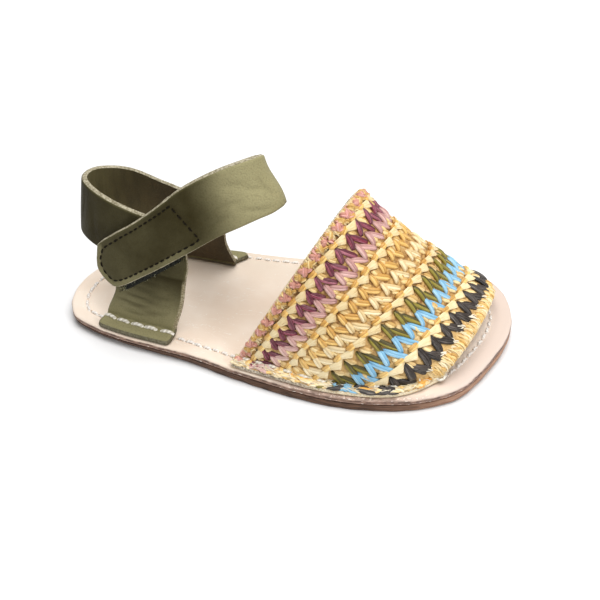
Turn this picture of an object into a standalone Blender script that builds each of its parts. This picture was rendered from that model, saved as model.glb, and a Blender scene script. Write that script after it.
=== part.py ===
"""A child's avarca sandal for the right foot: flat sole, woven open-toed vamp, leather heel and ankle straps.

Metres. +X runs from heel to toe, +Y to the big-toe side and +Z up, with the floor at Z = 0.
The pieces are shaped in foot places: along from the back of the heel, across from the heel's middle line.
"""
import math
from bisect import bisect_right
from collections import namedtuple

import bpy
import numpy as np
from mathutils import Vector

# Driving sizes of the sole
SOLE_LENGTH = 0.139
OUTSOLE_THICKNESS = 0.0026
FOOTBED_THICKNESS = 0.0019
TOE_SPRING = 0.0015
SPRING_START = 0.112
EDGE_ROUND = 0.0005
SIDE_STEPS = 60
CURVE_STEPS = 12

# The outsole's side is trimmed at a slant under the heel: how far its foot lies inside its top edge
UndercutPlace = namedtuple("UndercutPlace", "along inset")
UNDERCUT = [UndercutPlace(*row) for row in (
    (0.000, 0.0017),
    (0.018, 0.0017),
    (0.026, 0.0014),
    (0.040, 0.0010),
    (0.056, 0.0003),
    (0.070, 0.0001),
)]

# Gap kept between two pieces that are glued or sewn together
FIT_GAP = 0.0003

# Angle between two faces from which their edge is shown sharp
SHARP_EDGE = math.radians(40.0)

# The sole's outline, from the back of the heel round the little-toe side to the toe and back again
OutlinePoint = namedtuple("OutlinePoint", "along across")
LATERAL_EDGE = [OutlinePoint(*row) for row in (
    (0.0000, -0.0075),
    (0.0035, -0.0165),
    (0.0110, -0.0205),
    (0.0230, -0.0232),
    (0.0440, -0.0252),
    (0.0640, -0.0290),
    (0.0880, -0.0319),
    (0.1060, -0.0301),
    (0.1210, -0.0247),
    (0.1310, -0.0155),
)]
MEDIAL_EDGE = [OutlinePoint(*row) for row in (
    (0.1391, 0.0070),
    (0.1370, 0.0225),
    (0.1285, 0.0335),
    (0.1120, 0.0365),
    (0.0900, 0.0335),
    (0.0650, 0.0286),
    (0.0420, 0.0268),
    (0.0240, 0.0246),
    (0.0095, 0.0165),
    (0.0015, 0.0030),
)]

# The strap leather and the form of the ankle that it bends round, level by level
STRAP_THICKNESS = 0.0017
STRAP_STEP_DEGREES = 3.4
FOLD_ROUND = 0.0006
FOLD_SPREAD = 5.0
FOLD_SWEEP = 268.0
FULL_TURN = 360.0
AnkleLevel = namedtuple("AnkleLevel", "height along across half_length half_width")
ANKLE_LEVELS = [AnkleLevel(*row) for row in (
    (0.005, 0.0330, 0.0000, 0.0300, 0.0177),
    (0.020, 0.0341, 0.0003, 0.0311, 0.0162),
    (0.035, 0.0361, 0.0006, 0.0325, 0.0142),
    (0.050, 0.0364, 0.0010, 0.0310, 0.0117),
    (0.059, 0.0347, 0.0013, 0.0278, 0.0102),
    (0.068, 0.0341, 0.0015, 0.0259, 0.0087),
)]

# The run of the strapping round the ankle: heel band first, then the ankle strap to its fastened end.
# The sweep is 0 at the little-toe side, 90 at the heel, 180 at the big-toe side and 270 at the instep,
# and a place gives the heights of the leather's lower and upper edges and its lift off the ankle's form.
StrapPlace = namedtuple("StrapPlace", "sweep lower upper lift")
STRAP_RUN = [StrapPlace(*row) for row in (
    (-12.3, 0.0260, 0.0290, 0.0000),
    (-10.5, 0.0261, 0.0335, 0.0000),
    (-8.0, 0.0262, 0.0390, 0.0000),
    (-4.0, 0.0264, 0.0436, 0.0000),
    (12.0, 0.0270, 0.0448, 0.0000),
    (35.0, 0.0283, 0.0462, 0.0000),
    (60.0, 0.0286, 0.0474, 0.0000),
    (92.0, 0.0282, 0.0474, 0.0000),
    (118.0, 0.0275, 0.0468, 0.0000),
    (142.0, 0.0250, 0.0444, 0.0000),
    (163.0, 0.0200, 0.0389, 0.0000),
    (176.0, 0.0178, 0.0366, 0.0000),
    (190.0, 0.0205, 0.0410, 0.0000),
    (205.0, 0.0270, 0.0486, 0.0000),
    (220.0, 0.0338, 0.0542, 0.0000),
    (235.0, 0.0400, 0.0582, 0.0000),
    (250.0, 0.0446, 0.0612, 0.0000),
    (265.0, 0.0472, 0.0638, 0.0002),
    (280.0, 0.0484, 0.0652, 0.0006),
    (294.0, 0.0482, 0.0656, 0.0010),
    (308.0, 0.0476, 0.0653, 0.0016),
    (322.0, 0.0460, 0.0644, 0.0026),
    (335.0, 0.0434, 0.0624, 0.0036),
    (348.0, 0.0384, 0.0589, 0.0044),
    (370.0, 0.0271, 0.0484, 0.0044),
    (379.0, 0.0226, 0.0434, 0.0044),
    (384.0, 0.0211, 0.0409, 0.0044),
    (389.0, 0.0221, 0.0382, 0.0044),
    (393.0, 0.0237, 0.0360, 0.0044),
    (395.6, 0.0255, 0.0343, 0.0044),
    (397.1, 0.0284, 0.0332, 0.0044),
)]

# The two tabs that come down from the heel band to the footbed, by their front and rear sweeps
TAB_BEND = 0.0014
TAB_FLARE = 3
TAB_WALL_ROWS = 6
TAB_BEND_ROWS = 3
TabLevel = namedtuple("TabLevel", "drop front rear")
LATERAL_TAB = [TabLevel(*row) for row in (
    (0.00, -12.3, 46.0),
    (0.20, -12.8, 34.0),
    (0.50, -13.0, 30.5),
    (1.00, -10.0, 37.5),
)]
MEDIAL_TAB = [TabLevel(*row) for row in (
    (0.00, 213.0, 153.0),
    (0.20, 201.0, 164.0),
    (0.50, 200.0, 166.0),
    (1.00, 207.0, 161.0),
)]
Tab = namedtuple("Tab", "medial levels edge_inset flange splay narrowing")
TABS = (
    Tab(False, LATERAL_TAB, 0.0005, 0.0049, 0.0, 0.0),
    Tab(True, MEDIAL_TAB, 0.0020, 0.0050, 0.0032, 0.0018),
)

# The hook-and-loop tapes between the strap's end and the little-toe side tab
TAPE_THICKNESS = 0.0009
LOOP_PEEPS_OUT = 0.0012
HOOK_PEEPS_OUT = 0.0026
TAPE_SET_BACK = 0.0030
LOOP_SET_BACK = 0.0020
TAPE_START = 352.0
TAPE_END = 379.0

# The woven vamp: rows across the foot from the instep to the toes, each an arch leaning forward
VAMP_THICKNESS = 0.0014
VampArch = namedtuple("VampArch", "share lateral medial crest_along crest_height fullness inset margin")
VAMP_ARCHES = [VampArch(*row) for row in (
    (0.00, 0.0604, 0.0711, 0.0882, 0.0531, 0.82, 0.0048, 0.0006),
    (0.25, 0.0745, 0.0840, 0.1005, 0.0402, 0.82, 0.0050, 0.0008),
    (0.50, 0.0920, 0.0997, 0.1115, 0.0294, 0.82, 0.0050, 0.0010),
    (0.75, 0.1090, 0.1143, 0.1206, 0.0190, 0.82, 0.0056, 0.0014),
    (1.00, 0.1210, 0.1280, 0.1309, 0.0130, 0.82, 0.0074, 0.0055),
)]

# The weave's rows from instep to toe, by their share of the vamp's length, and how far the strips of each
# kind of row stand out for their width
EDGING_RELIEF = 0.28
LADDER_RELIEF = 0.18
ZIGZAG_RELIEF = 0.26
WeaveRow = namedtuple("WeaveRow", "share relief")
WEAVE_ROWS = [WeaveRow(*row) for row in (
    (0.042, EDGING_RELIEF),
    (0.050, LADDER_RELIEF),
    (0.066, ZIGZAG_RELIEF),
    (0.066, ZIGZAG_RELIEF),
    (0.050, LADDER_RELIEF),
    (0.066, ZIGZAG_RELIEF),
    (0.070, ZIGZAG_RELIEF),
    (0.063, LADDER_RELIEF),
    (0.080, ZIGZAG_RELIEF),
    (0.095, ZIGZAG_RELIEF),
    (0.080, LADDER_RELIEF),
    (0.115, ZIGZAG_RELIEF),
    (0.157, EDGING_RELIEF),
)]
ZIGZAGS_ACROSS = 20
STRIP_SLANT = 0.35
STRIP_END_RELIEF = 0.4
INNER_COLUMN_STEP = 4
INNER_LINE_STEP = 2
ARCH_SAMPLES = 120
WeaveLine = namedtuple("WeaveLine", "share relief ridge")


def smooth(rows, column, at):
    """Value of a named column where the table's first column reads `at`, on a smooth curve through the rows."""
    keys = [row[0] for row in rows]
    values = [getattr(row, column) for row in rows]
    slopes = np.gradient(values, keys)
    place = min(max(bisect_right(keys, at) - 1, 0), len(keys) - 2)
    span = keys[place + 1] - keys[place]
    share = min(max((at - keys[place]) / span, 0.0), 1.0)
    rise = share * share * (3.0 - 2.0 * share)
    leave = share * (1.0 - share) ** 2 * span * slopes[place]
    arrive = share * share * (share - 1.0) * span * slopes[place + 1]
    return float(values[place] * (1.0 - rise) + values[place + 1] * rise + leave + arrive)


def evenly_along(points, count):
    """The same number of points, spaced evenly along a line of points."""
    points = np.array(points)
    steps = np.linalg.norm(np.diff(points, axis=0), axis=1)
    travel = np.concatenate(([0.0], np.cumsum(steps)))
    places = np.linspace(0.0, travel[-1], count)
    return np.column_stack([np.interp(places, travel, column) for column in points.T])


def closed_curve(points, steps):
    """Closed smooth curve through the points, with the same number of steps between each two."""
    curve = []
    count = len(points)
    for index in range(count):
        before, start, end, after = (np.array(points[(index + shift) % count]) for shift in (-1, 0, 1, 2))
        for share in np.linspace(0.0, 1.0, steps, endpoint=False):
            bend = (end - before) * share * (1.0 - share) ** 2 - (after - start) * share * share * (1.0 - share)
            curve.append(start + (end - start) * share * share * (3.0 - 2.0 * share) + 0.5 * bend)
    return np.array(curve)


def outline_runs():
    """The outline's two sides from heel to toe, evenly stepped, and the outward direction at each point."""
    curve = closed_curve(LATERAL_EDGE + MEDIAL_EDGE, CURVE_STEPS)
    toe = len(LATERAL_EDGE) * CURVE_STEPS
    lateral = evenly_along(curve[:toe + 1], SIDE_STEPS + 1)
    medial = evenly_along(np.vstack((curve[toe:], curve[:1])), SIDE_STEPS + 1)
    ring = np.vstack((lateral[:-1], medial[:-1]))
    tangent = np.roll(ring, -1, axis=0) - np.roll(ring, 1, axis=0)
    outward = np.column_stack((tangent[:, 1], -tangent[:, 0]))
    outward /= np.linalg.norm(outward, axis=1)[:, None]
    return ring, outward


OUTLINE, OUTWARD = outline_runs()


def sole_lift(along):
    """Height that the toe spring gives the sole at this place along the foot."""
    share = max(0.0, (along - SPRING_START) / (SOLE_LENGTH - SPRING_START))
    return TOE_SPRING * share * share


FOOTBED_BOTTOM = OUTSOLE_THICKNESS + FIT_GAP
FOOTBED_TOP = FOOTBED_BOTTOM + FOOTBED_THICKNESS


def edge_place(medial, along, inset):
    """Point that far inside the sole's edge on one side of the foot, and the way out from it."""
    side = slice(SIDE_STEPS, None) if medial else slice(0, SIDE_STEPS + 1)
    inside = OUTLINE[side] - OUTWARD[side] * inset
    order = np.argsort(inside[:, 0])
    across = np.interp(along, inside[order, 0], inside[order, 1])
    out = Vector([np.interp(along, inside[order, 0], OUTWARD[side][order, axis]) for axis in (0, 1)])
    return Vector((along, across)), out.normalized()


def ankle_point(sweep, height, lift=0.0):
    """Point of the ankle's form at a sweep round it and a height, lifted off it by a distance."""
    level = AnkleLevel(height, *(smooth(ANKLE_LEVELS, column, height) for column in AnkleLevel._fields[1:]))
    turn = math.radians(sweep)
    along = level.along - (level.half_length + lift) * math.sin(turn)
    across = level.across - (level.half_width + lift) * math.cos(turn)
    return Vector((along, across, height))


def strap_place(sweep):
    """The heights of the strapping's edges and its lift at a sweep, its lower edge rounded off at the fold."""
    lower, upper, lift = (smooth(STRAP_RUN, column, sweep) for column in StrapPlace._fields[1:])
    rounded = FOLD_ROUND * math.exp(-(((sweep - FOLD_SWEEP) / FOLD_SPREAD) ** 2))
    return StrapPlace(sweep, lower + rounded, upper, lift)


def strap_section(sweep, lower, upper, lift):
    """Lower edge, middle and upper edge of a strip round the ankle at a sweep."""
    return [ankle_point(sweep, height, lift) for height in (lower, (lower + upper) / 2.0, upper)]


def vertex_normals(points, faces):
    """Outward direction at each point of a sheet, from the faces round it."""
    normals = [Vector((0.0, 0.0, 0.0)) for _ in points]
    for face in faces:
        a, b, c, d = (points[corner] for corner in face)
        normal = (c - a).cross(d - b)
        for corner in face:
            normals[corner] += normal
    return [normal.normalized() for normal in normals]


def thick_sheet(points, faces, thickness):
    """Closed solid of a sheet of four-sided faces, with half the thickness on each side of it."""
    normals = vertex_normals(points, faces)
    half = thickness / 2.0
    outer = [point + normal * half for point, normal in zip(points, normals)]
    inner = [point - normal * half for point, normal in zip(points, normals)]
    count = len(points)
    edges = {(a, b) for face in faces for a, b in zip(face, face[1:] + face[:1])}
    rims = [(b, a, a + count, b + count) for a, b in edges if (b, a) not in edges]
    backs = [tuple(corner + count for corner in reversed(face)) for face in faces]
    return outer + inner, list(faces) + backs + sorted(rims)


def strip_faces(columns):
    """Faces between neighbouring columns of point numbers."""
    faces = []
    for left, right in zip(columns, columns[1:]):
        for row in range(len(left) - 1):
            faces.append((left[row], left[row + 1], right[row + 1], right[row]))
    return faces


def material(name, colour, roughness):
    made = bpy.data.materials.new(name)
    made.use_nodes = True
    shader = made.node_tree.nodes["Principled BSDF"]
    shader.inputs["Base Color"].default_value = (*colour, 1.0)
    shader.inputs["Roughness"].default_value = roughness
    shader.inputs["Metallic"].default_value = 0.0
    return made


def add_piece(name, points, faces, finish, parent):
    """One closed piece of the sandal as an object of its own."""
    mesh = bpy.data.meshes.new(name)
    mesh.from_pydata([tuple(point) for point in points], [], faces)
    mesh.validate()
    mesh.materials.append(finish)
    mesh.shade_smooth()
    mesh.set_sharp_from_angle(angle=SHARP_EDGE)
    piece = bpy.data.objects.new(name, mesh)
    piece.parent = parent
    bpy.context.scene.collection.objects.link(piece)
    return piece


def sole_layer(rings):
    """Points and faces of a flat layer between rings of the outline, given as insets and heights from below."""
    points = []
    for inset, height in rings:
        for place, out, deep in zip(OUTLINE, OUTWARD, np.broadcast_to(inset, len(OUTLINE))):
            along, across = place - out * deep
            points.append((along, across, height + sole_lift(along)))
    count = len(OUTLINE)
    faces = []
    for ring in range(len(rings) - 1):
        for step in range(count):
            after = (step + 1) % count
            low, high = ring * count, (ring + 1) * count
            faces.append((low + step, low + after, high + after, high + step))
    top = (len(rings) - 1) * count
    for step in range(SIDE_STEPS):
        lateral, medial = (step, step + 1), ((count - step) % count, count - step - 1)
        corners = list(dict.fromkeys((lateral[0], lateral[1], medial[1], medial[0])))
        faces.append(tuple(top + corner for corner in corners))
        faces.append(tuple(reversed(corners)))
    return points, faces


def add_outsole(parent):
    undercut = np.interp(OUTLINE[:, 0], *zip(*UNDERCUT))
    rings = ((undercut + EDGE_ROUND, 0.0), (undercut * 0.8, EDGE_ROUND), (0.0, OUTSOLE_THICKNESS))
    return add_piece("outsole", *sole_layer(rings), material("brown_sole", (0.10, 0.055, 0.035), 0.7), parent)


def add_footbed(parent):
    rings = ((0.0, FOOTBED_BOTTOM), (0.0, FOOTBED_TOP - EDGE_ROUND), (EDGE_ROUND, FOOTBED_TOP))
    return add_piece("footbed", *sole_layer(rings), material("pale_leather", (0.80, 0.68, 0.56), 0.6), parent)


def add_tab(points, columns, tab):
    """Carry columns of the heel band's lower edge down to the footbed, and turn them out into a flange."""
    flange_height = FOOTBED_TOP + FIT_GAP + STRAP_THICKNESS / 2.0
    bend_top = flange_height + TAB_BEND
    wall_inset = tab.edge_inset + tab.flange + TAB_BEND
    tab_columns = []
    for order, top in enumerate(columns):
        across_tab = order / (len(columns) - 1)
        narrower = tab.narrowing * across_tab
        column = [top]
        for row in range(1, TAB_WALL_ROWS + 1):
            drop = row / TAB_WALL_ROWS
            front, rear = smooth(tab.levels, "front", drop), smooth(tab.levels, "rear", drop)
            height = points[top].z + (bend_top - points[top].z) * drop
            point = ankle_point(front + (rear - front) * across_tab, height)
            foot, out = edge_place(tab.medial, point.x, wall_inset)
            point.xy = point.xy.lerp(foot + out * narrower, drop ** TAB_FLARE)
            column.append(len(points))
            points.append(point)
        foot = points[column[-1]].xy
        for row in range(1, TAB_BEND_ROWS + 1):
            turn = math.radians(90.0 * row / TAB_BEND_ROWS)
            place = foot + out * TAB_BEND * (1.0 - math.cos(turn))
            column.append(len(points))
            points.append(Vector((*place, flange_height + TAB_BEND * (1.0 - math.sin(turn)))))
        place = foot + out * (TAB_BEND + tab.flange - narrower)
        place.x += tab.splay * (1.0 - across_tab) ** 2
        column.append(len(points))
        points.append(Vector((*place, flange_height)))
        tab_columns.append(column)
    return tab_columns


def add_straps(parent):
    """The leather strapping: heel band and ankle strap in one run, with a tab down to the footbed on each side."""
    start, end = STRAP_RUN[0].sweep, STRAP_RUN[-1].sweep
    sweeps = np.linspace(start, end, round((end - start) / STRAP_STEP_DEGREES) + 1)
    points, columns = [], []
    for sweep in sweeps:
        columns.append(range(len(points), len(points) + 3))
        points.extend(strap_section(*strap_place(sweep)))
    faces = strip_faces(columns)
    for tab in TABS:
        low, high = sorted((tab.levels[0].front, tab.levels[0].rear))
        tops = [column[0] for column, sweep in zip(columns, sweeps) if low <= round(sweep, 3) <= high]
        if tab.medial:
            tops.reverse()
        tab_faces = strip_faces(add_tab(points, tops, tab))
        faces += tab_faces if tab.medial else [tuple(reversed(face)) for face in tab_faces]
    faces = [tuple(reversed(face)) for face in faces]
    solid = thick_sheet(points, faces, STRAP_THICKNESS)
    return add_piece("straps", *solid, material("olive_leather", (0.13, 0.12, 0.05), 0.5), parent)


def add_tape(name, lift, peeps_out, on_band, colour, parent):
    """One half of the fastening, a strip under the strap's end, or on the heel band that backs it there."""
    sweeps = np.linspace(TAPE_START, TAPE_END, round((TAPE_END - TAPE_START) / STRAP_STEP_DEGREES) + 1)
    points, columns = [], []
    for sweep in sweeps:
        columns.append(range(len(points), len(points) + 3))
        place = strap_place(sweep)
        upper = place.upper - TAPE_SET_BACK
        if on_band:
            upper = min(upper, strap_place(sweep - FULL_TURN).upper - LOOP_SET_BACK)
        points.extend(strap_section(sweep, place.lower - peeps_out, upper, lift))
    faces = [tuple(reversed(face)) for face in strip_faces(columns)]
    return add_piece(name, *thick_sheet(points, faces, TAPE_THICKNESS), material(name, colour, 0.9), parent)


def vamp_arch(share):
    """Points across the vamp at a share of its length, from one flange's edge over the foot to the other."""
    arch = VampArch(share, *(smooth(VAMP_ARCHES, column, share) for column in VampArch._fields[1:]))
    seat = FOOTBED_TOP + FIT_GAP + VAMP_THICKNESS / 2.0
    lateral, lateral_out = edge_place(False, arch.lateral, arch.inset)
    medial, medial_out = edge_place(True, arch.medial, arch.inset)
    flange = arch.inset - arch.margin
    lean = arch.crest_along - (lateral.x + medial.x) / 2.0
    edge = lateral + lateral_out * flange
    points = [(*edge, seat + sole_lift(edge.x))]
    for turn in np.linspace(0.0, math.pi, ARCH_SAMPLES):
        rise = math.sin(turn) ** arch.fullness if 0.0 < turn < math.pi else 0.0
        over = lateral.lerp(medial, (1.0 - math.cos(turn)) / 2.0)
        along = over.x + lean * rise
        points.append((along, over.y, seat + sole_lift(over.x) + (arch.crest_height - seat) * rise))
    edge = medial + medial_out * flange
    points.append((*edge, seat + sole_lift(edge.x)))
    return points


def weave_lines():
    """Lines across the vamp, by share of its length: the ends and the middle of every row of the weave."""
    total = sum(row.share for row in WEAVE_ROWS)
    lines = []
    reached = 0.0
    for row in WEAVE_ROWS:
        lines.append(WeaveLine(reached / total, row.relief, False))
        lines.append(WeaveLine((reached + row.share / 2.0) / total, row.relief, True))
        reached += row.share
    lines.append(WeaveLine(1.0, WEAVE_ROWS[-1].relief, False))
    return lines


def add_vamp(parent):
    """The woven wall: a smooth inner face, and an outer face with each strip of the weave standing out."""
    columns = 4 * ZIGZAGS_ACROSS + 1
    lines = weave_lines()
    middle = [Vector(point) for line in lines for point in evenly_along(vamp_arch(line.share), columns)]
    numbers = [range(line * columns, (line + 1) * columns) for line in range(len(lines))]
    faces = [tuple(reversed(face)) for face in strip_faces(numbers)]
    normals = vertex_normals(middle, faces)
    half = VAMP_THICKNESS / 2.0
    points = []
    for order, line in enumerate(lines):
        for column, number in enumerate(numbers[order]):
            height = half
            slide = Vector((0.0, 0.0, 0.0))
            if column % 2 == 1:
                width = (middle[number + 1] - middle[number - 1]).length
                height += width * line.relief * (1.0 if line.ridge else STRIP_END_RELIEF)
                beside = 1 if (column // 2 + order // 2) % 2 else -1
                if not line.ridge:
                    slide = (middle[number + beside] - middle[number]) * STRIP_SLANT
            points.append(middle[number] + normals[number] * height + slide)
    inner_lines = numbers[::INNER_LINE_STEP]
    inner = {}
    for line in inner_lines:
        for number in line[::INNER_COLUMN_STEP]:
            inner[number] = len(points)
            points.append(middle[number] - normals[number] * half)
    for line, after in zip(inner_lines, inner_lines[1:]):
        for place in range(0, columns - 1, INNER_COLUMN_STEP):
            corners = (line[place], line[place + INNER_COLUMN_STEP], after[place + INNER_COLUMN_STEP], after[place])
            faces.append(tuple(inner[corner] for corner in corners))
    rim = [*numbers[0], *(line[-1] for line in numbers[1:-1])]
    rim += [*reversed(numbers[-1]), *(line[0] for line in reversed(numbers[1:-1]))]
    turns = [place for place, number in enumerate(rim) if number in inner]
    for start, end in zip(turns, turns[1:] + [len(rim)]):
        run = [rim[place % len(rim)] for place in range(start, end + 1)]
        faces.append((*run, inner[run[-1]], inner[run[0]]))
    return add_piece("vamp", points, faces, material("woven_straw", (0.55, 0.38, 0.12), 0.55), parent)


def main():
    for old in list(bpy.data.objects):
        bpy.data.objects.remove(old)
    sandal = bpy.data.objects.new("sandal", None)
    bpy.context.scene.collection.objects.link(sandal)
    middle = (OUTLINE.min(axis=0) + OUTLINE.max(axis=0)) / 2.0
    sandal.location = (-middle[0], -middle[1], 0.0)
    add_outsole(sandal)
    add_footbed(sandal)
    add_straps(sandal)
    loop_lift = STRAP_THICKNESS / 2.0 + FIT_GAP + TAPE_THICKNESS / 2.0
    hook_lift = loop_lift + TAPE_THICKNESS + FIT_GAP
    add_tape("loop_tape", loop_lift, LOOP_PEEPS_OUT, True, (0.02, 0.022, 0.015), sandal)
    add_tape("hook_tape", hook_lift, HOOK_PEEPS_OUT, False, (0.03, 0.03, 0.02), sandal)
    add_vamp(sandal)


main()
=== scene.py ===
"""Looks of a child's avarca sandal for the right foot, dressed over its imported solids.

Metres. +X runs from heel to toe, +Y to the big-toe side and +Z up, with the floor at Z = 0.
"""
import math
from collections import namedtuple

import bpy
import numpy as np
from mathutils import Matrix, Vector
from mathutils.kdtree import KDTree


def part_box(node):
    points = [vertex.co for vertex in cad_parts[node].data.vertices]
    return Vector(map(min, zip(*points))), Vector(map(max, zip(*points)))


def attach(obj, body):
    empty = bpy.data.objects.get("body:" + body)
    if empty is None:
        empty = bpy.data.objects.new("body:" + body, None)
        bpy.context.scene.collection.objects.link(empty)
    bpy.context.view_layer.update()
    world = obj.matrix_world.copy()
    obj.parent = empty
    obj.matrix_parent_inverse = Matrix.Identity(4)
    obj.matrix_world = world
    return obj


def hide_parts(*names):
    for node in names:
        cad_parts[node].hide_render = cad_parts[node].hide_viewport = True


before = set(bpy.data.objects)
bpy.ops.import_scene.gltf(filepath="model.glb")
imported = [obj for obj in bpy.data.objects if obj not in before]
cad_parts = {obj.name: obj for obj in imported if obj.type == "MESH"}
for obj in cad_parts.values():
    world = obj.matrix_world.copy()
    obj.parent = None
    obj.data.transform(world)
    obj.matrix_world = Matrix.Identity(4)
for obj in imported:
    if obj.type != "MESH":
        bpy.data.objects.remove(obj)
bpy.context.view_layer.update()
chance = np.random.default_rng(22)


# Outsole
# A thin sheet of brown sole rubber, glued under the footbed and trimmed together with it,
# at a slant under the heel. Its edge is left raw from the knife: dark, a little uneven,
# and paler where the toe turns up.
OUTLINE_STEPS = 4
TOP_EDGE_FROM = 0.8
OUTSOLE_ROUND = 0.0006
OUTSOLE_RAGGED = 0.00004
RAGGED_WAVES = (9, 17, 31, 53)
CAP_INSET = 0.0030
GLUED_INSET = 0.0001
Undercut = namedtuple("Undercut", "along inset")
UNDERCUTS = [Undercut(*row) for row in (
    (-0.0696, 0.0017),
    (-0.0516, 0.0017),
    (-0.0436, 0.0014),
    (-0.0296, 0.0010),
    (-0.0136, 0.0003),
    (0.0004, 0.0001),
)]


def unit(vectors):
    """The vectors, each at length one."""
    return vectors / np.linalg.norm(vectors, axis=-1, keepdims=True)


def eased(share):
    """A share from 0 to 1, with a soft start and end."""
    return share * share * (3.0 - 2.0 * share)


def closed_curve(points, steps):
    """Closed smooth curve through the points, with the same number of steps between each two."""
    before, after = np.roll(points, 1, axis=0), np.roll(points, -1, axis=0)
    beyond = np.roll(points, -2, axis=0)
    curve = []
    for share in np.linspace(0.0, 1.0, steps, endpoint=False):
        leave = (after - before) * share * (1.0 - share) ** 2
        arrive = (beyond - points) * share * share * (1.0 - share)
        curve.append(points + (after - points) * eased(share) + 0.5 * (leave - arrive))
    return np.stack(curve, axis=1).reshape(-1, points.shape[1])


def sole_outline():
    """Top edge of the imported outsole, from the heel round the little-toe side to the toe and back."""
    corners = np.array([vertex.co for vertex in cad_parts["outsole"].data.vertices])
    edge = corners[corners[:, 2] > TOP_EDGE_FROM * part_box("footbed")[0].z]
    edge = np.unique(np.round(edge, 6), axis=0)
    turns = np.arctan2(edge[:, 1], edge[:, 0])
    return closed_curve(edge[np.argsort(turns)], OUTLINE_STEPS)


outline = sole_outline()
outline_count = len(outline)
tangents = np.roll(outline, -1, axis=0) - np.roll(outline, 1, axis=0)
outward = unit(np.column_stack((tangents[:, 1], -tangents[:, 0])))
outsole_top = outline[:, 2].min()
along_order = np.argsort(outline[:, 0])


def toe_lift(along):
    """Height that the toe spring gives the sole at places along the foot."""
    return np.interp(along, outline[along_order, 0], outline[along_order, 2] - outsole_top)


def wander(size, waves):
    """Smooth uneven values round the sole's outline."""
    turns = np.linspace(0.0, 2.0 * math.pi, outline_count, endpoint=False)
    phases = chance.uniform(0.0, 2.0 * math.pi, len(waves))
    return size * sum(np.sin(wave * turns + phase) for wave, phase in zip(waves, phases))


def cap_faces():
    """Triangles across the inside of the outline, in strips from heel to toe."""
    along = outline[:, 0]
    heel, toe = int(np.argmin(along)), int(np.argmax(along))
    near = [(heel + step) % outline_count for step in range((toe - heel) % outline_count + 1)]
    far = [(heel - step) % outline_count for step in range((heel - toe) % outline_count + 1)]
    faces = []
    left = right = 0
    while left < len(near) - 1 or right < len(far) - 1:
        near_next, far_next = (along[side[place + 1]] if place < len(side) - 1 else math.inf
                               for side, place in ((near, left), (far, right)))
        if near_next <= far_next:
            faces.append((near[left], near[left + 1], far[right]))
            left += 1
        else:
            faces.append((near[left], far[right + 1], far[right]))
            right += 1
    return [face for face in faces if len(set(face)) == 3]


def sole_layer(rings):
    """Points and faces of a layer of the sole, from rings given from below up as insets and heights."""
    points = []
    for inset, height in rings:
        places = outline[:, :2] - outward * np.broadcast_to(inset, outline_count)[:, None]
        points.append(np.column_stack((places, height + toe_lift(places[:, 0]))))
    faces = []
    for low in range(0, (len(rings) - 1) * outline_count, outline_count):
        high = low + outline_count
        for step in range(outline_count):
            after = (step + 1) % outline_count
            faces.append((low + step, low + after, high + after, high + step))
    top = (len(rings) - 1) * outline_count
    for cap in cap_faces():
        faces.append(tuple(top + corner for corner in cap))
        faces.append(tuple(reversed(cap)))
    return np.vstack(points), faces


class Tone:
    """A socket of a finish's nodes. Arithmetic on it adds the Math nodes that work it out."""

    def __init__(self, finish, socket):
        self.finish = finish
        self.socket = socket

    def math(self, operation, first, second):
        return self.finish.node("Math", {"operation": operation}, {0: first, 1: second})

    def __add__(self, other):
        return self.math("ADD", self, other)

    def __sub__(self, other):
        return self.math("SUBTRACT", self, other)

    def __rsub__(self, other):
        return self.math("SUBTRACT", other, self)

    def __mul__(self, other):
        return self.math("MULTIPLY", self, other)

    __radd__ = __add__
    __rmul__ = __mul__

    def ease(self, low, high):
        """0 up to the low value, 1 from the high one, and a smooth step between."""
        smooth_step = {"interpolation_type": "SMOOTHSTEP"}
        return self.finish.node("MapRange", smooth_step, {0: self, 1: low, 2: high})


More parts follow.
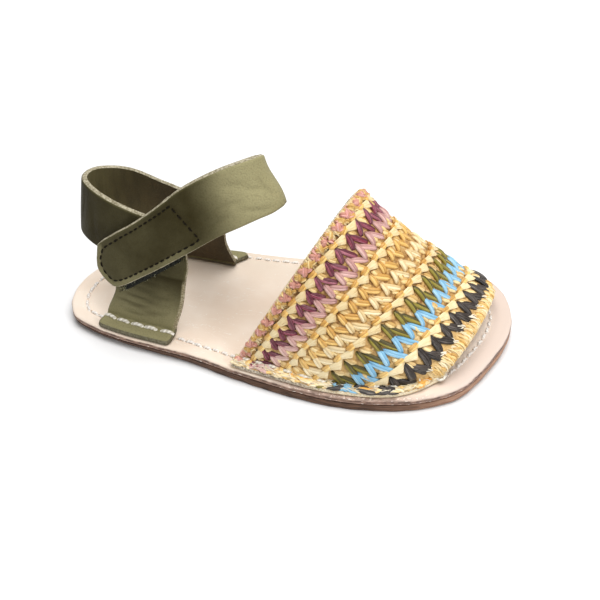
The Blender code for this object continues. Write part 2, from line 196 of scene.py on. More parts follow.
class Finish:
    """A material of the sandal, and the one way in which its nodes are added."""

    def __init__(self, name, **constants):
        self.material = bpy.data.materials.new(name)
        self.material.use_nodes = True
        self.tree = self.material.node_tree
        self.shader = self.tree.nodes["Principled BSDF"]
        for socket, value in constants.items():
            self.shader.inputs[socket.replace("_", " ")].default_value = value

    def node(self, kind, settings=None, inputs=None, output=0):
        made = self.tree.nodes.new("ShaderNode" + kind)
        for setting, value in (settings or {}).items():
            setattr(made, setting, value)
        for key, value in (inputs or {}).items():
            self.link(value, made.inputs[key])
        return Tone(self, made.outputs[output])

    def link(self, value, socket):
        if isinstance(value, Tone):
            self.tree.links.new(value.socket, socket)
        else:
            socket.default_value = value

    def feed(self, socket, tone):
        self.link(tone, self.shader.inputs[socket])

    def mix(self, share, first, second):
        """A mix of two colours, each a socket or three levels up to 255."""
        sides = [colour(*side) if isinstance(side, tuple) else side for side in (first, second)]
        return self.node("Mix", {"data_type": "RGBA"}, {0: share, 6: sides[0], 7: sides[1]}, 2)

    def value(self, name, output=2):
        """A value kept at the points of the mesh. Output 1 gives it as a vector."""
        return self.node("Attribute", {"attribute_name": name}, None, output)

    def place(self, stretch=1.0):
        """Places on the object, stretched by one number or by one for each axis."""
        places = self.node("TexCoord", None, None, 3)
        stretches = np.broadcast_to(stretch, 3).tolist()
        return self.node("VectorMath", {"operation": "MULTIPLY"}, {0: places, 1: stretches})

    def axis(self, number, vector=None):
        """One value of a vector, or of the places on the object: 0 along the foot, 1 across it, 2 up."""
        return self.node("SeparateXYZ", None, {0: self.place() if vector is None else vector}, number)

    def noise(self, places, detail=3.0, roughness=0.55, scale=1.0):
        """Noise at places that a socket gives, or over the object with the stretch given."""
        if not isinstance(places, Tone):
            places = self.place(places)
        sockets = {"Vector": places, "Scale": scale, "Detail": detail, "Roughness": roughness}
        return self.node("TexNoise", None, sockets)

    def dress(self, shade, height, strength, distance):
        """Feed the surface's colour and its relief."""
        self.feed("Base Color", shade)
        sockets = {"Height": height, "Strength": strength, "Distance": distance}
        self.feed("Normal", self.node("Bump", None, sockets))
        return self


def colour(*levels):
    """A colour from its three levels up to 255, as the shader takes it."""
    shares = [level / 255.0 for level in levels]
    linear = [share / 12.92 if share < 0.04045 else ((share + 0.055) / 1.055) ** 2.4 for share in shares]
    return (*linear, 1.0)


def add_object(name, data):
    """A new object in the scene."""
    made = bpy.data.objects.new(name, data)
    bpy.context.scene.collection.objects.link(made)
    return made


def add_piece(name, points, faces, finishes, slot, nodes=(), values=None, worn=None, sharp=38.0):
    """A piece of the sandal: its mesh, values at each point, the finish worn by each face, and its place."""
    mesh = bpy.data.meshes.new(name)
    mesh.from_pydata(np.asarray(points).tolist(), [], faces)
    for finish in finishes:
        mesh.materials.append(finish.material)
    if worn is not None:
        mesh.polygons.foreach_set("material_index", worn)
    for key, column in (values or {}).items():
        column = np.asarray(column, np.float32)
        kind, field = ("FLOAT_VECTOR", "vector") if column.ndim == 2 else ("FLOAT", "value")
        mesh.attributes.new(key, kind, "POINT").data.foreach_set(field, column.ravel())
    mesh.shade_smooth()
    mesh.set_sharp_from_angle(angle=math.radians(sharp))
    piece = add_object(name, mesh)
    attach(piece, "root")
    if nodes:
        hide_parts(*nodes)


def sole_finish():
    finish = Finish("brown_sole", Roughness=0.75)
    streaks = finish.noise((220.0, 220.0, 2600.0), 4.0)
    blots = finish.noise(90.0)
    base = finish.mix(streaks.ease(0.35, 0.70), (62, 40, 26), (112, 78, 55))
    worn = finish.mix(streaks.ease(0.30, 0.70), (150, 108, 82), (188, 148, 122))
    towards_toe = (finish.axis(0) + (blots - 0.5) * 0.012).ease(0.030, 0.066)
    return finish.dress(finish.mix(towards_toe, base, worn), streaks, 0.5, 0.0002)


outsole_ragged = wander(OUTSOLE_RAGGED, RAGGED_WAVES)
undercut = np.interp(outline[:, 0], *zip(*UNDERCUTS))
outsole_rings = (
    (undercut + CAP_INSET, 0.0),
    (undercut + OUTSOLE_ROUND, 0.0),
    (undercut * 0.95 + 0.3 * OUTSOLE_ROUND + outsole_ragged, 0.3 * OUTSOLE_ROUND),
    (undercut * 0.8 + outsole_ragged, OUTSOLE_ROUND),
    (undercut * 0.25 + 0.5 * outsole_ragged, 0.75 * outsole_top),
    (GLUED_INSET, outsole_top),
)
add_piece("brown_outsole", *sole_layer(outsole_rings), [sole_finish()], "brown_sole", ["outsole"])


# Footbed
# One layer of pale natural leather, cut to the outsole's outline, with a burnished edge and a seam
# channel pressed in for the hand stitches that hold straps, vamp and sole together.
FOOTBED_THICKNESS = 0.0019
FOOTBED_RAGGED = 0.00007
SEAM_INSET = 0.0050
SEAM_TOE_INSET = 0.0068
SEAM_TOE_SPAN = (0.042, 0.060)
SEAM_MEDIAL_INSET = 0.0028
SEAM_MEDIAL_SPAN = (-0.056, -0.034)
SEAM_MEDIAL_SHALLOWER = 0.6
SEAM_WRINKLES = 0.0030
RUBBED_SPAN = (-0.004, 0.014, 0.040, 0.056)
EdgeRing = namedtuple("EdgeRing", "inset ragged above level")
FOOTBED_EDGE = [EdgeRing(*row) for row in (
    (CAP_INSET, 0.0, 0.0, 0.0),
    (0.0002, 0.0, 0.0, 0.0),
    (0.0, 1.0, 0.0003, 0.15),
    (0.0, 1.0, 0.0010, 0.52),
    (0.0001, 0.5, 0.0015, 0.78),
    (0.00040, 0.0, 0.0018, 0.95),
    (0.00085, 0.0, 0.0019, 1.0),
)]
SeamRing = namedtuple("SeamRing", "beside drop")
SEAM_CHANNEL = [SeamRing(*row) for row in (
    (-0.0017, 0.0),
    (-0.0009, 0.00008),
    (-0.0004, 0.00026),
    (0.0, 0.00034),
    (0.0004, 0.00026),
    (0.0009, 0.00008),
    (0.0017, 0.0),
)]
FIELD_BESIDE = 0.0026
BORDER_INSET = 0.0018

footbed_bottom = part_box("footbed")[0].z
footbed_top = footbed_bottom + FOOTBED_THICKNESS
toe_share = np.interp(outline[:, 0], SEAM_TOE_SPAN, (0.0, 1.0))
medial_share = eased(np.interp(outline[:, 0], SEAM_MEDIAL_SPAN, (0.0, 1.0)) * (outline[:, 1] > 0.0))
rubbed_share = np.interp(outline[:, 0], RUBBED_SPAN, (0.0, 1.0, 1.0, 0.0)) * (outline[:, 1] < 0.0)
seam_inset = SEAM_INSET + (SEAM_MEDIAL_INSET - SEAM_INSET) * medial_share
seam_inset += (SEAM_TOE_INSET - seam_inset) * eased(toe_share)


def footbed_finish():
    finish = Finish("pale_leather", Roughness=0.55, Coat_Roughness=0.5)
    edge, level = finish.value("edge"), finish.value("level")
    fine = finish.noise(1500.0, 4.0)
    cloudy = finish.noise(70.0)
    fibre = finish.noise((500.0, 500.0, 1800.0), 4.0)
    scratch_places = finish.noise((60.0, 190.0, 60.0), 2.0, 0.7)
    face = finish.mix(cloudy.ease(0.30, 0.70), (230, 210, 190), (238, 222, 205))
    scratches = (scratch_places.ease(0.49, 0.50) - scratch_places.ease(0.50, 0.51)) * fine.ease(0.45, 0.6)
    face = finish.mix(scratches * 0.55, face, (251, 246, 238))
    # Darker towards the big-toe side.
    face = finish.mix(finish.axis(1).ease(0.002, 0.020) * 0.5, face, (210, 196, 178))
    toe = finish.value("toe")
    # Towards the toe the footbed turns pinker and darker: partly its own tone, partly painted shade where
    # the lamps light the toe strongly.
    face = finish.mix(toe * 0.9, face, (208, 190, 178))
    # Painted light: inside the seam at the toe the footbed is painted paler, against the shadow that the
    # vamp's front edge casts.
    face = finish.mix(toe * edge.ease(0.0045, 0.0085), face, (246, 232, 218))
    fluff = finish.noise((900.0, 900.0, 1500.0), 2.0)
    burnished = finish.mix(fibre.ease(0.35, 0.65), (124, 92, 78), (184, 150, 132))
    burnished = finish.mix(fluff.ease(0.56, 0.65) * 0.9, burnished, (236, 222, 208))
    glue_line = finish.mix(fibre.ease(0.4, 0.6), (92, 66, 52), (150, 118, 100))
    rubbed = finish.value("rubbed") * (1 - edge.ease(0.0004, 0.0026)) * (0.55 + fluff * 0.6)
    face = finish.mix(rubbed, face, burnished)
    ragged_level = level + (fibre - 0.5) * 0.3
    side = finish.mix(ragged_level.ease(0.22, 0.30), burnished, glue_line)
    side = finish.mix(ragged_level.ease(0.56, 0.84), side, face)
    toe_seam = finish.value("seam") * toe
    wrinkles = finish.noise(420.0, 3.0, 0.6)
    height = fine * 0.22 + fibre * (1 - edge.ease(0.0, 0.0008)) * 0.6
    height = height + wrinkles * toe_seam * 1.4 - scratches * 0.3
    return finish.dress(side, height, 0.45, 0.00025)


def build_footbed():
    ragged = wander(FOOTBED_RAGGED, RAGGED_WAVES)
    rings = [(ring.inset + ring.ragged * ragged, footbed_bottom + ring.above, ring.level)
             for ring in FOOTBED_EDGE]
    rings.append((np.minimum(BORDER_INSET, seam_inset - BORDER_INSET), footbed_top, 1.0))
    depth = 1.0 - SEAM_MEDIAL_SHALLOWER * medial_share
    rings += [(seam_inset + ring.beside, footbed_top - ring.drop * depth, 1.0) for ring in SEAM_CHANNEL]
    rings.append((seam_inset + FIELD_BESIDE, footbed_top, 1.0))
    points, faces = sole_layer([(inset, height) for inset, height, level in rings])
    insets = np.concatenate([np.broadcast_to(inset, outline_count) for inset, _, _ in rings])
    levels = np.concatenate([np.full(outline_count, level) for _, _, level in rings])
    from_seam = np.abs(insets - np.tile(seam_inset, len(rings)))
    values = {
        "edge": insets,
        "level": levels,
        "seam": np.clip(1.0 - from_seam / SEAM_WRINKLES, 0.0, 1.0),
        "toe": np.tile(toe_share, len(rings)),
        "rubbed": np.tile(rubbed_share, len(rings)),
    }
    add_piece("pale_footbed", points, faces, [footbed_finish()], "pale_leather", ["footbed"], values)


build_footbed()


# Vamp: backing
# The open-toed front is a plaited straw cloth, cut to shape and bent over the foot in one arch.
# Both sides are turned out flat and sewn down beside the sole's edge; this is its plain ground.
# The tables from here on count along the foot from the heel, and across it from its middle line.
HEEL_X, MIDDLE_Y = -0.069646, -0.002279
FIT_GAP = 0.0003
VAMP_THICKNESS = 0.0014
VampArch = namedtuple("VampArch", "share lateral medial crest_along crest_height fullness inset margin")
VAMP_ARCHES = [VampArch(*row) for row in (
    (0.00, 0.0604, 0.0711, 0.0882, 0.0531, 0.82, 0.0048, 0.0006),
    (0.25, 0.0745, 0.0840, 0.1005, 0.0402, 0.82, 0.0050, 0.0008),
    (0.50, 0.0920, 0.0997, 0.1115, 0.0294, 0.82, 0.0050, 0.0010),
    (0.75, 0.1090, 0.1143, 0.1206, 0.0190, 0.82, 0.0056, 0.0014),
    (1.00, 0.1210, 0.1280, 0.1309, 0.0130, 0.82, 0.0074, 0.0055),
)]
VAMP_EDGE_BULGE = 0.0003
ARCH_SAMPLES = 161
VAMP_LINES = 61
VAMP_COLUMNS = 181


def smooth(rows, column, at):
    """Values of a named column where a table's first column reads `at`, smoothly through its rows."""
    keys = np.array([row[0] for row in rows])
    values = np.array([getattr(row, column) for row in rows])
    slopes = np.gradient(values, keys)
    place = np.clip(np.searchsorted(keys, at, side="right") - 1, 0, len(keys) - 2)
    span = keys[place + 1] - keys[place]
    share = np.clip((at - keys[place]) / span, 0.0, 1.0)
    rise = eased(share)
    leave = share * (1.0 - share) ** 2 * span * slopes[place]
    arrive = share * share * (share - 1.0) * span * slopes[place + 1]
    return values[place] * (1.0 - rise) + values[place + 1] * rise + leave + arrive


def columns_at(rows, at):
    """Every column but the first of a table, where the first reads `at`."""
    return [smooth(rows, column, at) for column in rows[0]._fields[1:]]


def travel_along(points):
    """How far along a line of points each of them lies."""
    return np.concatenate(([0.0], np.cumsum(np.linalg.norm(np.diff(points, axis=0), axis=1))))


def at_travel(points, travel, places):
    """Points of a line at places along it."""
    return np.column_stack([np.interp(places, travel, column) for column in points.T])


def edge_place(medial, along, inset):
    """Points that far inside the sole's edge on one side of the foot, and the ways out from them."""
    half = outline_count // 2
    side = slice(half, None) if medial else slice(0, half + 1)
    inside = outline[side, :2] - outward[side] * inset
    order = np.argsort(inside[:, 0])
    columns = np.column_stack((inside[:, 1], outward[side]))[order].T
    across, *out = (np.interp(along, inside[order, 0], column) for column in columns)
    return np.stack((along, across), axis=-1), unit(np.stack(out, axis=-1))


def vamp_arch(share):
    """Points across the vamp at a share of its length, how far along its crest lies, and their length."""
    arch = VampArch(share, *columns_at(VAMP_ARCHES, share))
    seat = footbed_top + FIT_GAP + VAMP_THICKNESS / 2.0
    lateral, lateral_out = edge_place(False, arch.lateral + HEEL_X, arch.inset)
    medial, medial_out = edge_place(True, arch.medial + HEEL_X, arch.inset)
    flange = arch.inset - arch.margin
    lean = arch.crest_along + HEEL_X - (lateral[0] + medial[0]) / 2.0
    turns = np.linspace(0.0, math.pi, ARCH_SAMPLES)
    rise = np.clip(np.sin(turns), 0.0, 1.0) ** arch.fullness
    over = (1.0 - np.cos(turns))[:, None] / 2.0 * (medial - lateral) + lateral
    heights = seat + toe_lift(over[:, 0]) + (arch.crest_height - seat) * rise
    wall = np.column_stack((over[:, 0] + lean * rise, over[:, 1], heights))
    edges = [foot + out * flange for foot, out in ((lateral, lateral_out), (medial, medial_out))]
    edges = [np.append(edge, seat + toe_lift(edge[0])) for edge in edges]
    points = np.vstack((edges[0], wall, edges[1]))
    travel = travel_along(points)
    even = at_travel(points, travel, np.linspace(0.0, travel[-1], VAMP_COLUMNS))
    return even, travel[1 + ARCH_SAMPLES // 2], travel[-1]


vamp_shares = np.linspace(0.0, 1.0, VAMP_LINES)
vamp_grid, crest_reach, arch_length = (np.array(part) for part in zip(*map(vamp_arch, vamp_shares)))
vamp_out = unit(np.cross(np.gradient(vamp_grid, axis=0), np.gradient(vamp_grid, axis=1)))


def between(grid, lines, columns):
    """Values of a grid at places between its lines and columns."""
    low = np.clip(np.floor(lines).astype(int), 0, grid.shape[0] - 2)
    left = np.clip(np.floor(columns).astype(int), 0, grid.shape[1] - 2)
    along, across = (lines - low)[..., None], (columns - left)[..., None]
    rear = grid[low, left] * (1.0 - across) + grid[low, left + 1] * across
    front = grid[low + 1, left] * (1.0 - across) + grid[low + 1, left + 1] * across
    return rear * (1.0 - along) + front * along


def vamp_edges(shares):
    """Reach of the vamp's two side edges from its crest."""
    crest = np.interp(shares, vamp_shares, crest_reach)
    return -crest, np.interp(shares, vamp_shares, arch_length) - crest


def vamp_spot(shares, reaches):
    """Points of the vamp's outer face and ways out, by share of its length and reach from its crest."""
    near, far = vamp_edges(shares)
    columns = np.clip((reaches - near) / (far - near), 0.0, 1.0) * (VAMP_COLUMNS - 1)
    lines = np.asarray(shares) * (VAMP_LINES - 1)
    out = unit(between(vamp_out, lines, columns))
    return between(vamp_grid, lines, columns) + out * VAMP_THICKNESS / 2.0, out


def sheet_faces(numbers):
    """Faces of a grid of points, from the array of their numbers."""
    corners = (numbers[:-1, :-1], numbers[1:, :-1], numbers[1:, 1:], numbers[:-1, 1:])
    return [tuple(face) for face in np.stack(corners, axis=-1).reshape(-1, 4).tolist()]


def sheet_rim(faces):
    """Edges round the border of a sheet, as pairs of its points."""
    edges = {(a, b) for face in faces for a, b in zip(face, face[1:] + face[:1])}
    return sorted((a, b) for a, b in edges if (b, a) not in edges)


def vertex_normals(points, faces):
    """Outward direction at each point of a sheet, from the four-sided faces round it."""
    corners = np.array(faces)
    first, second, third, fourth = (points[column] for column in corners.T)
    crossed = np.cross(third - first, fourth - second)
    normals = np.zeros_like(points)
    for place in range(4):
        np.add.at(normals, corners[:, place], crossed)
    return unit(normals)


def thick_sheet(points, faces, thickness, bulge, bevel=0.0):
    """Closed solid of a sheet with a rounded cut edge: its points and faces, and the sheet's rim points."""
    points = np.asarray(points)
    normals = vertex_normals(points, faces)
    half = thickness / 2.0
    count = len(points)
    rim = sheet_rim(faces)
    way = np.zeros_like(points)
    for a, b in rim:
        out = np.cross(points[b] - points[a], normals[a] + normals[b])
        way[a] += out
        way[b] += out
    rim_points = sorted({a for a, _ in rim})
    way[rim_points] = unit(way[rim_points])
    bulged = {place: 2 * count + order for order, place in enumerate(rim_points)}
    middle = (points + way * bulge)[rim_points]
    solid = np.vstack((points + normals * half - way * bevel, points - normals * half, middle))
    backs = [tuple(corner + count for corner in reversed(face)) for face in faces]
    cut = []
    for a, b in rim:
        cut.append((b, a, bulged[a], bulged[b]))
        cut.append((bulged[b], bulged[a], a + count, b + count))
    return solid, list(faces) + backs + cut, rim_points


def backing_finish():
    finish = Finish("straw_ground", Roughness=0.7)
    threads = finish.noise((900.0, 300.0, 900.0))
    patches = finish.noise(350.0, 2.0)
    # Painted shade: the ground is a dark gold-brown, standing for the shade between the strands.
    shade = finish.mix(threads.ease(0.35, 0.65), (140, 98, 48), (206, 166, 102))
    # Painted light: the ground is painted paler towards the foot of the wall.
    shade = finish.mix((1 - finish.axis(2).ease(0.010, 0.024)) * 0.4, shade, (232, 198, 134))
    shade = finish.mix(patches.ease(0.55, 0.75), shade, (232, 204, 150))
    return finish.dress(shade, threads, 0.6, 0.0004)


def fluff_finish():
    finish = Finish("straw_cut", Roughness=0.9)
    fluff = finish.noise(1700.0, 4.0, 0.7)
    # Greyer fibres on the cut edge low down at the vamp's rear, paler ones elsewhere.
    greyer_fluff = finish.mix(fluff.ease(0.35, 0.65), (128, 112, 92), (222, 210, 190))
    paler_fluff = finish.mix(fluff.ease(0.30, 0.60), (214, 184, 128), (250, 238, 210))
    raised_or_forward = (finish.axis(0).ease(0.006, 0.026) + finish.axis(2).ease(0.008, 0.011)).ease(0.0, 1.0)
    return finish.dress(finish.mix(raised_or_forward, greyer_fluff, paler_fluff), fluff, 0.9, 0.0005)


vamp_faces = sheet_faces(np.arange(VAMP_LINES * VAMP_COLUMNS).reshape(VAMP_LINES, VAMP_COLUMNS))
ground, ground_faces, _ = thick_sheet(vamp_grid.reshape(-1, 3), vamp_faces, VAMP_THICKNESS, VAMP_EDGE_BULGE)
ground_worn = np.ones(len(ground_faces), int)
ground_worn[:2 * len(vamp_faces)] = 0
add_piece("vamp_backing", ground, ground_faces, [backing_finish(), fluff_finish()], "woven_straw", ["vamp"],
          worn=ground_worn)


# Vamp: coloured zigzag rows
# Each row is one flat pair of straw strands, led up and down in chevrons over the ground.
# The strands are glossy and striped along their length, and each chevron's ends tuck under the next.
STRAND_RINGS = 11
STRAND_STEPS = np.linspace(0.0, 1.0, STRAND_RINGS)
STRAND_ARCH = np.sin(math.pi * STRAND_STEPS)
STRAND_SIDES = 8
STRAND_SHARP = 80.0
SLANT_FROM = -0.020
SLANT_REACH = 0.035
WeaveRow = namedtuple("WeaveRow", "straw start size slant pitch phase ladder steep flat width",
                     defaults=(None, None, None, 0.0019))
WEAVE_ROWS = [WeaveRow(*row) for row in (
    ("plum", 0.0724, 0.075, -0.6, 0.0050, 0.0011, 0.0, (0.98, -0.36), (1.46, 0.62)),
    ("pink", 0.1360, 0.068, -0.5, 0.0049, 0.0006, None, (1.14, -0.16), (1.40, 0.86)),
    ("gold", 0.2670, 0.070, -0.6, 0.0048, -0.0034, -0.18, (1.00, -0.28), (1.46, 0.70)),
    ("cream", 0.3310, 0.070, 0.3, 0.0050, -0.0030, None, (1.00, -0.28), (1.46, 0.70)),
    ("olive", 0.4700, 0.095, 1.2, 0.0052, -0.0017, -0.20, (1.20, -0.28), (1.90, 0.66)),
    ("blue", 0.5420, 0.100, 2.0, 0.0052, -0.0025, None, (1.20, -0.42), (1.80, 0.64)),
    ("black", 0.7170, 0.120, 3.0, 0.0056, 0.0003, -0.10, (1.22, -0.47), (1.45, 0.52), 0.0026),
)]
ROW_LIMIT = 0.955
ROW_MARGIN = 0.0024
CHEVRON_WIDTH = 0.6
MOUTH_ROWS = ("pink", "cream", "blue")
Stroke = namedtuple("Stroke", "from_along from_across to_along to_across width height lift"
                    " start_dip end_dip bow skew", defaults=(0.0, 0.0, 0.0, 0.0))
STEEP_STROKE = Stroke(-0.02, 0.0, 1.00, -0.35, 0.0019, 0.0011, 0.00052, 0.0001, 0.0007, 0.03)
FLAT_STROKE = Stroke(0.18, 0.04, 1.42, 0.60, 0.0019, 0.0011, 0.00024, 0.0002, 0.0005, -0.04)
BLACK_MOUTH = Stroke(0.36, 0.12, 1.36, 0.24, 0.0019, 0.0009, 0.00026, 0.0002, 0.0004)
BLACK_MOUTH_JITTER = 2.0
ZIGZAG_PLIES = 2
PLY_OVERLAP = 0.72
STROKE_SLACK = 0.035
LIFT_SLACK = 0.00006
SIZE_SLACK = 0.07
STROKE_BARREL = (3.6, 0.10)
STRIPE_STRETCH = (2.2, 2.2, 0.9)
STRIPE_JUMP = (41.0, 17.0, 29.0)
STRIPE_SCALE = 2.2
# A straw's own colours are main and second, one for each ply; shade is a painted shade colour and light a
# painted highlight colour.
StrawColours = namedtuple("StrawColours", "shade main light second")
STRAW_COLOURS = {name: StrawColours(*colours) for name, *colours in (
    ("plum", (38, 6, 14), (120, 34, 56), (222, 158, 170), (74, 15, 31)),
    ("pink", (136, 86, 82), (214, 168, 160), (242, 220, 208), (186, 136, 130)),
    ("rose", (134, 72, 66), (224, 158, 152), (248, 214, 204), (206, 146, 128)),
    ("gold", (150, 96, 34), (236, 190, 104), (252, 228, 164), (196, 144, 66)),
    ("straw", (160, 112, 50), (240, 210, 144), (252, 236, 194), (206, 164, 92)),
    ("cream", (190, 152, 96), (246, 224, 176), (252, 242, 214), (212, 184, 130)),
    ("amber", (170, 104, 30), (238, 172, 74), (252, 212, 130), (222, 148, 52)),
    ("ribbon", (180, 144, 90), (234, 210, 158), (248, 234, 198), (208, 178, 122)),
    ("olive", (34, 28, 14), (138, 124, 42), (182, 170, 90), (46, 39, 32)),
    ("blue", (66, 118, 158), (142, 194, 222), (204, 232, 244), (116, 174, 208)),
    ("black", (8, 6, 7), (17, 14, 14), (140, 130, 122), (44, 34, 29)),
    ("bleached", (186, 170, 138), (238, 228, 204), (252, 248, 238), (216, 200, 166)),
)}
# These straws are painted darker high on the vamp and paler low on it, as the light falls.
PAINTED_LIGHT_STRAWS = ("gold", "straw", "cream", "ribbon", "pink", "rose")
PAINTED_LIGHT_SHARE = 0.30


def strand_mesh(paths, ways_out, half_widths, half_heights, skews=0.0, sides=STRAND_SIDES):
    """Points, faces and fibre values of closed tubes, from their paths, ways out and half sizes."""
    count, rings = paths.shape[:2]
    forward = unit(np.gradient(paths, axis=1))
    beside = unit(np.cross(ways_out, forward))
    up = np.cross(forward, beside)
    turns = np.linspace(0.0, 2.0 * math.pi, sides, endpoint=False)
    aside = half_widths[:, :, None] * np.cos(turns)
    wide = aside[..., None] * beside[:, :, None] + (aside * skews)[..., None] * forward[:, :, None]
    high = (half_heights[:, :, None] * np.sin(turns))[..., None] * up[:, :, None]
    points = (paths[:, :, None] + wide + high).reshape(-1, 3)
    number = np.arange(count * rings * sides).reshape(count, rings, sides)
    beyond = np.roll(number, -1, axis=2)
    walls = np.stack((number[:, :-1], beyond[:, :-1], beyond[:, 1:], number[:, 1:]), axis=-1)
    ends = np.concatenate((number[:, 0, ::-1], number[:, -1]))
    along = np.broadcast_to(np.linspace(0.0, 1.0, rings)[None, :, None], number.shape)
    ring = [np.broadcast_to(wave(turns), number.shape) for wave in (np.cos, np.sin)]
    fibre = np.stack((*ring, along), axis=-1)
    return points, walls.reshape(-1, 4).tolist() + ends.tolist(), fibre.reshape(-1, 3)


def add_strands(name, parts, finish, slot, sides=STRAND_SIDES, **values):
    """A piece of joined strands, with values given for each strand."""
    points, faces, fibre = strand_mesh(*parts, sides=sides)
    each = len(fibre) // len(parts[0])
    values = {key: np.repeat(column, each) for key, column in values.items()}
    add_piece(name, points, faces, [finish], slot, values={"fibre": fibre, **values}, sharp=STRAND_SHARP)


def straw_finish(name, colours, painted_light_share=0.0):
    finish = Finish(name, Coat_Weight=0.18, Coat_Roughness=0.22, Specular_IOR_Level=0.25)
    fibre = finish.value("fibre", 1)
    tint, ply = finish.value("tint"), finish.value("ply")
    stretched = finish.node("VectorMath", {"operation": "MULTIPLY"}, {0: fibre, 1: STRIPE_STRETCH})
    jump = finish.node("CombineXYZ", None, {axis: tint * far for axis, far in enumerate(STRIPE_JUMP)})
    places = finish.node("VectorMath", {"operation": "ADD"}, {0: stretched, 1: jump})
    # Stripes along the strands: partly the straw's own streaks, partly painted highlight and painted shade.
    stripes = finish.noise(places, 3.0, 0.6, STRIPE_SCALE)
    along = finish.axis(2, fibre)
    # Painted shade at both ends of each strand, where it tucks under its neighbours.
    ends = (1 - along.ease(0.0, 0.32)) * 0.6 + along.ease(0.74, 1.0) * 0.55
    height = finish.axis(2)
    # Painted shade higher up the vamp, on the straws listed for it.
    darker = height.ease(0.012, 0.030) * painted_light_share
    main = finish.mix((ply * (0.65 + tint * 0.35) + darker).ease(0.0, 1.0), colours.main, colours.second)
    # Painted light lower down the vamp, on the same straws.
    lower = (1 - height.ease(0.010, 0.024)) * painted_light_share
    # Mixed towards the light colour by each strand's random tint, and as painted highlight along the stripes
    # and lower down.
    tint_and_painted_light = (tint * 0.20 + stripes.ease(0.50, 0.70) * 0.65 + lower) * (1 - ply * 0.4) * (1 - darker * 0.6)
    main = finish.mix(tint_and_painted_light, main, colours.light)
    # Painted shade: mixed towards the shade colour between stripes, at the strand ends and high up.
    dark = ((1 - stripes.ease(0.28, 0.47)) * 0.70 + ends) * (1 - lower * 1.8) + darker * 0.30
    finish.feed("Roughness", 0.30 + stripes * 0.22)
    return finish.dress(finish.mix(dark.ease(0.0, 1.1), main, colours.shade), stripes, 0.55, 0.00018)


def row_reaches(row, margin=ROW_MARGIN):
    """Reach of each chevron of a row that lies on the vamp."""
    near, far = vamp_edges(np.clip(row.start + row.size, 0.0, 1.0))
    first = math.ceil((near + margin - row.phase) / row.pitch)
    last = math.floor((far - margin - CHEVRON_WIDTH * row.pitch - row.phase) / row.pitch)
    return row.phase + np.arange(first, last + 1) * row.pitch


def row_share(row, along, reaches):
    """Share of the vamp's length at a place along a row, which slants over the foot."""
    slant = np.clip(reaches - SLANT_FROM, -SLANT_REACH, SLANT_REACH) * row.slant
    return np.minimum(row.start + along * row.size + slant, max(ROW_LIMIT, row.start + row.size))


def led(start, end):
    """Values along a strand from its start to its end."""
    return start * (1.0 - STRAND_STEPS) + end * STRAND_STEPS


def barrel(power, least):
    """Shares of a strand's full size along it, smaller at both ends."""
    return np.sqrt(np.clip(1.0 - np.abs(2.0 * STRAND_STEPS - 1.0) ** power, least, 1.0))


def lay_strokes(row, stroke, plies, reaches, jitter=1.0):
    """Paths, ways out, half sizes, skews and plies of one stroke of a row at every chevron."""
    count = len(reaches)
    slack = chance.normal(0.0, STROKE_SLACK * jitter, (4, count, 1))
    along = led(stroke.from_along + slack[0], stroke.to_along + slack[1])
    across = led(stroke.from_across + slack[2], stroke.to_across + slack[3]) + stroke.bow * STRAND_ARCH
    across = reaches[:, None] + across * row.pitch
    points, out = vamp_spot(row_share(row, along, across), across)
    beside = unit(np.cross(out, np.gradient(points, axis=1)))
    body = barrel(*STROKE_BARREL)
    arch = STRAND_ARCH ** 0.5
    dip = (1.0 - arch) * np.where(STRAND_STEPS < 0.5, stroke.start_dip, stroke.end_dip)
    half_width = (1.0 - PLY_OVERLAP * (plies - 1) / plies) * stroke.width / 2.0
    skews = np.full((count, 1, 1), stroke.skew)
    laid = []
    for ply in range(plies):
        aside = (ply - (plies - 1) / 2.0) * stroke.width / plies * PLY_OVERLAP * body
        lift = stroke.lift * arch - dip + chance.normal(0.0, LIFT_SLACK * jitter, (count, 1))
        size = body * (1.0 + chance.normal(0.0, SIZE_SLACK * jitter, (count, 1)))
        paths = points + beside * aside[None, :, None] + out * lift[..., None]
        numbers = np.full(count, float(ply))
        laid.append((paths, out, half_width * size, stroke.height / 2.0 * size, skews, numbers))
    return [np.concatenate(part) for part in zip(*laid)]


def add_straw(name, laid, finish):
    """Join laid strokes into one piece of straw, with a tint drawn for each strand."""
    *parts, plies = (np.concatenate(part) for part in zip(*laid))
    tints = chance.uniform(0.0, 1.0, len(plies))
    add_strands(name, parts, finish, "woven_straw", tint=tints, ply=plies)


straws = {name: straw_finish(name + "_straw", colours, PAINTED_LIGHT_SHARE * (name in PAINTED_LIGHT_STRAWS))
          for name, colours in STRAW_COLOURS.items()}
for row in WEAVE_ROWS:
    flat = FLAT_STROKE._replace(to_along=row.flat[0], to_across=row.flat[1], width=row.width)
    steep = STEEP_STROKE._replace(to_along=row.steep[0], to_across=row.steep[1], width=row.width)
    laid = [lay_strokes(row, stroke, ZIGZAG_PLIES, row_reaches(row)) for stroke in (flat, steep)]
    if row.straw == "black":
        laid.append(lay_strokes(row, BLACK_MOUTH, ZIGZAG_PLIES, row_reaches(row), BLACK_MOUTH_JITTER))
    add_straw(row.straw + "_zigzags", laid, straws[row.straw])


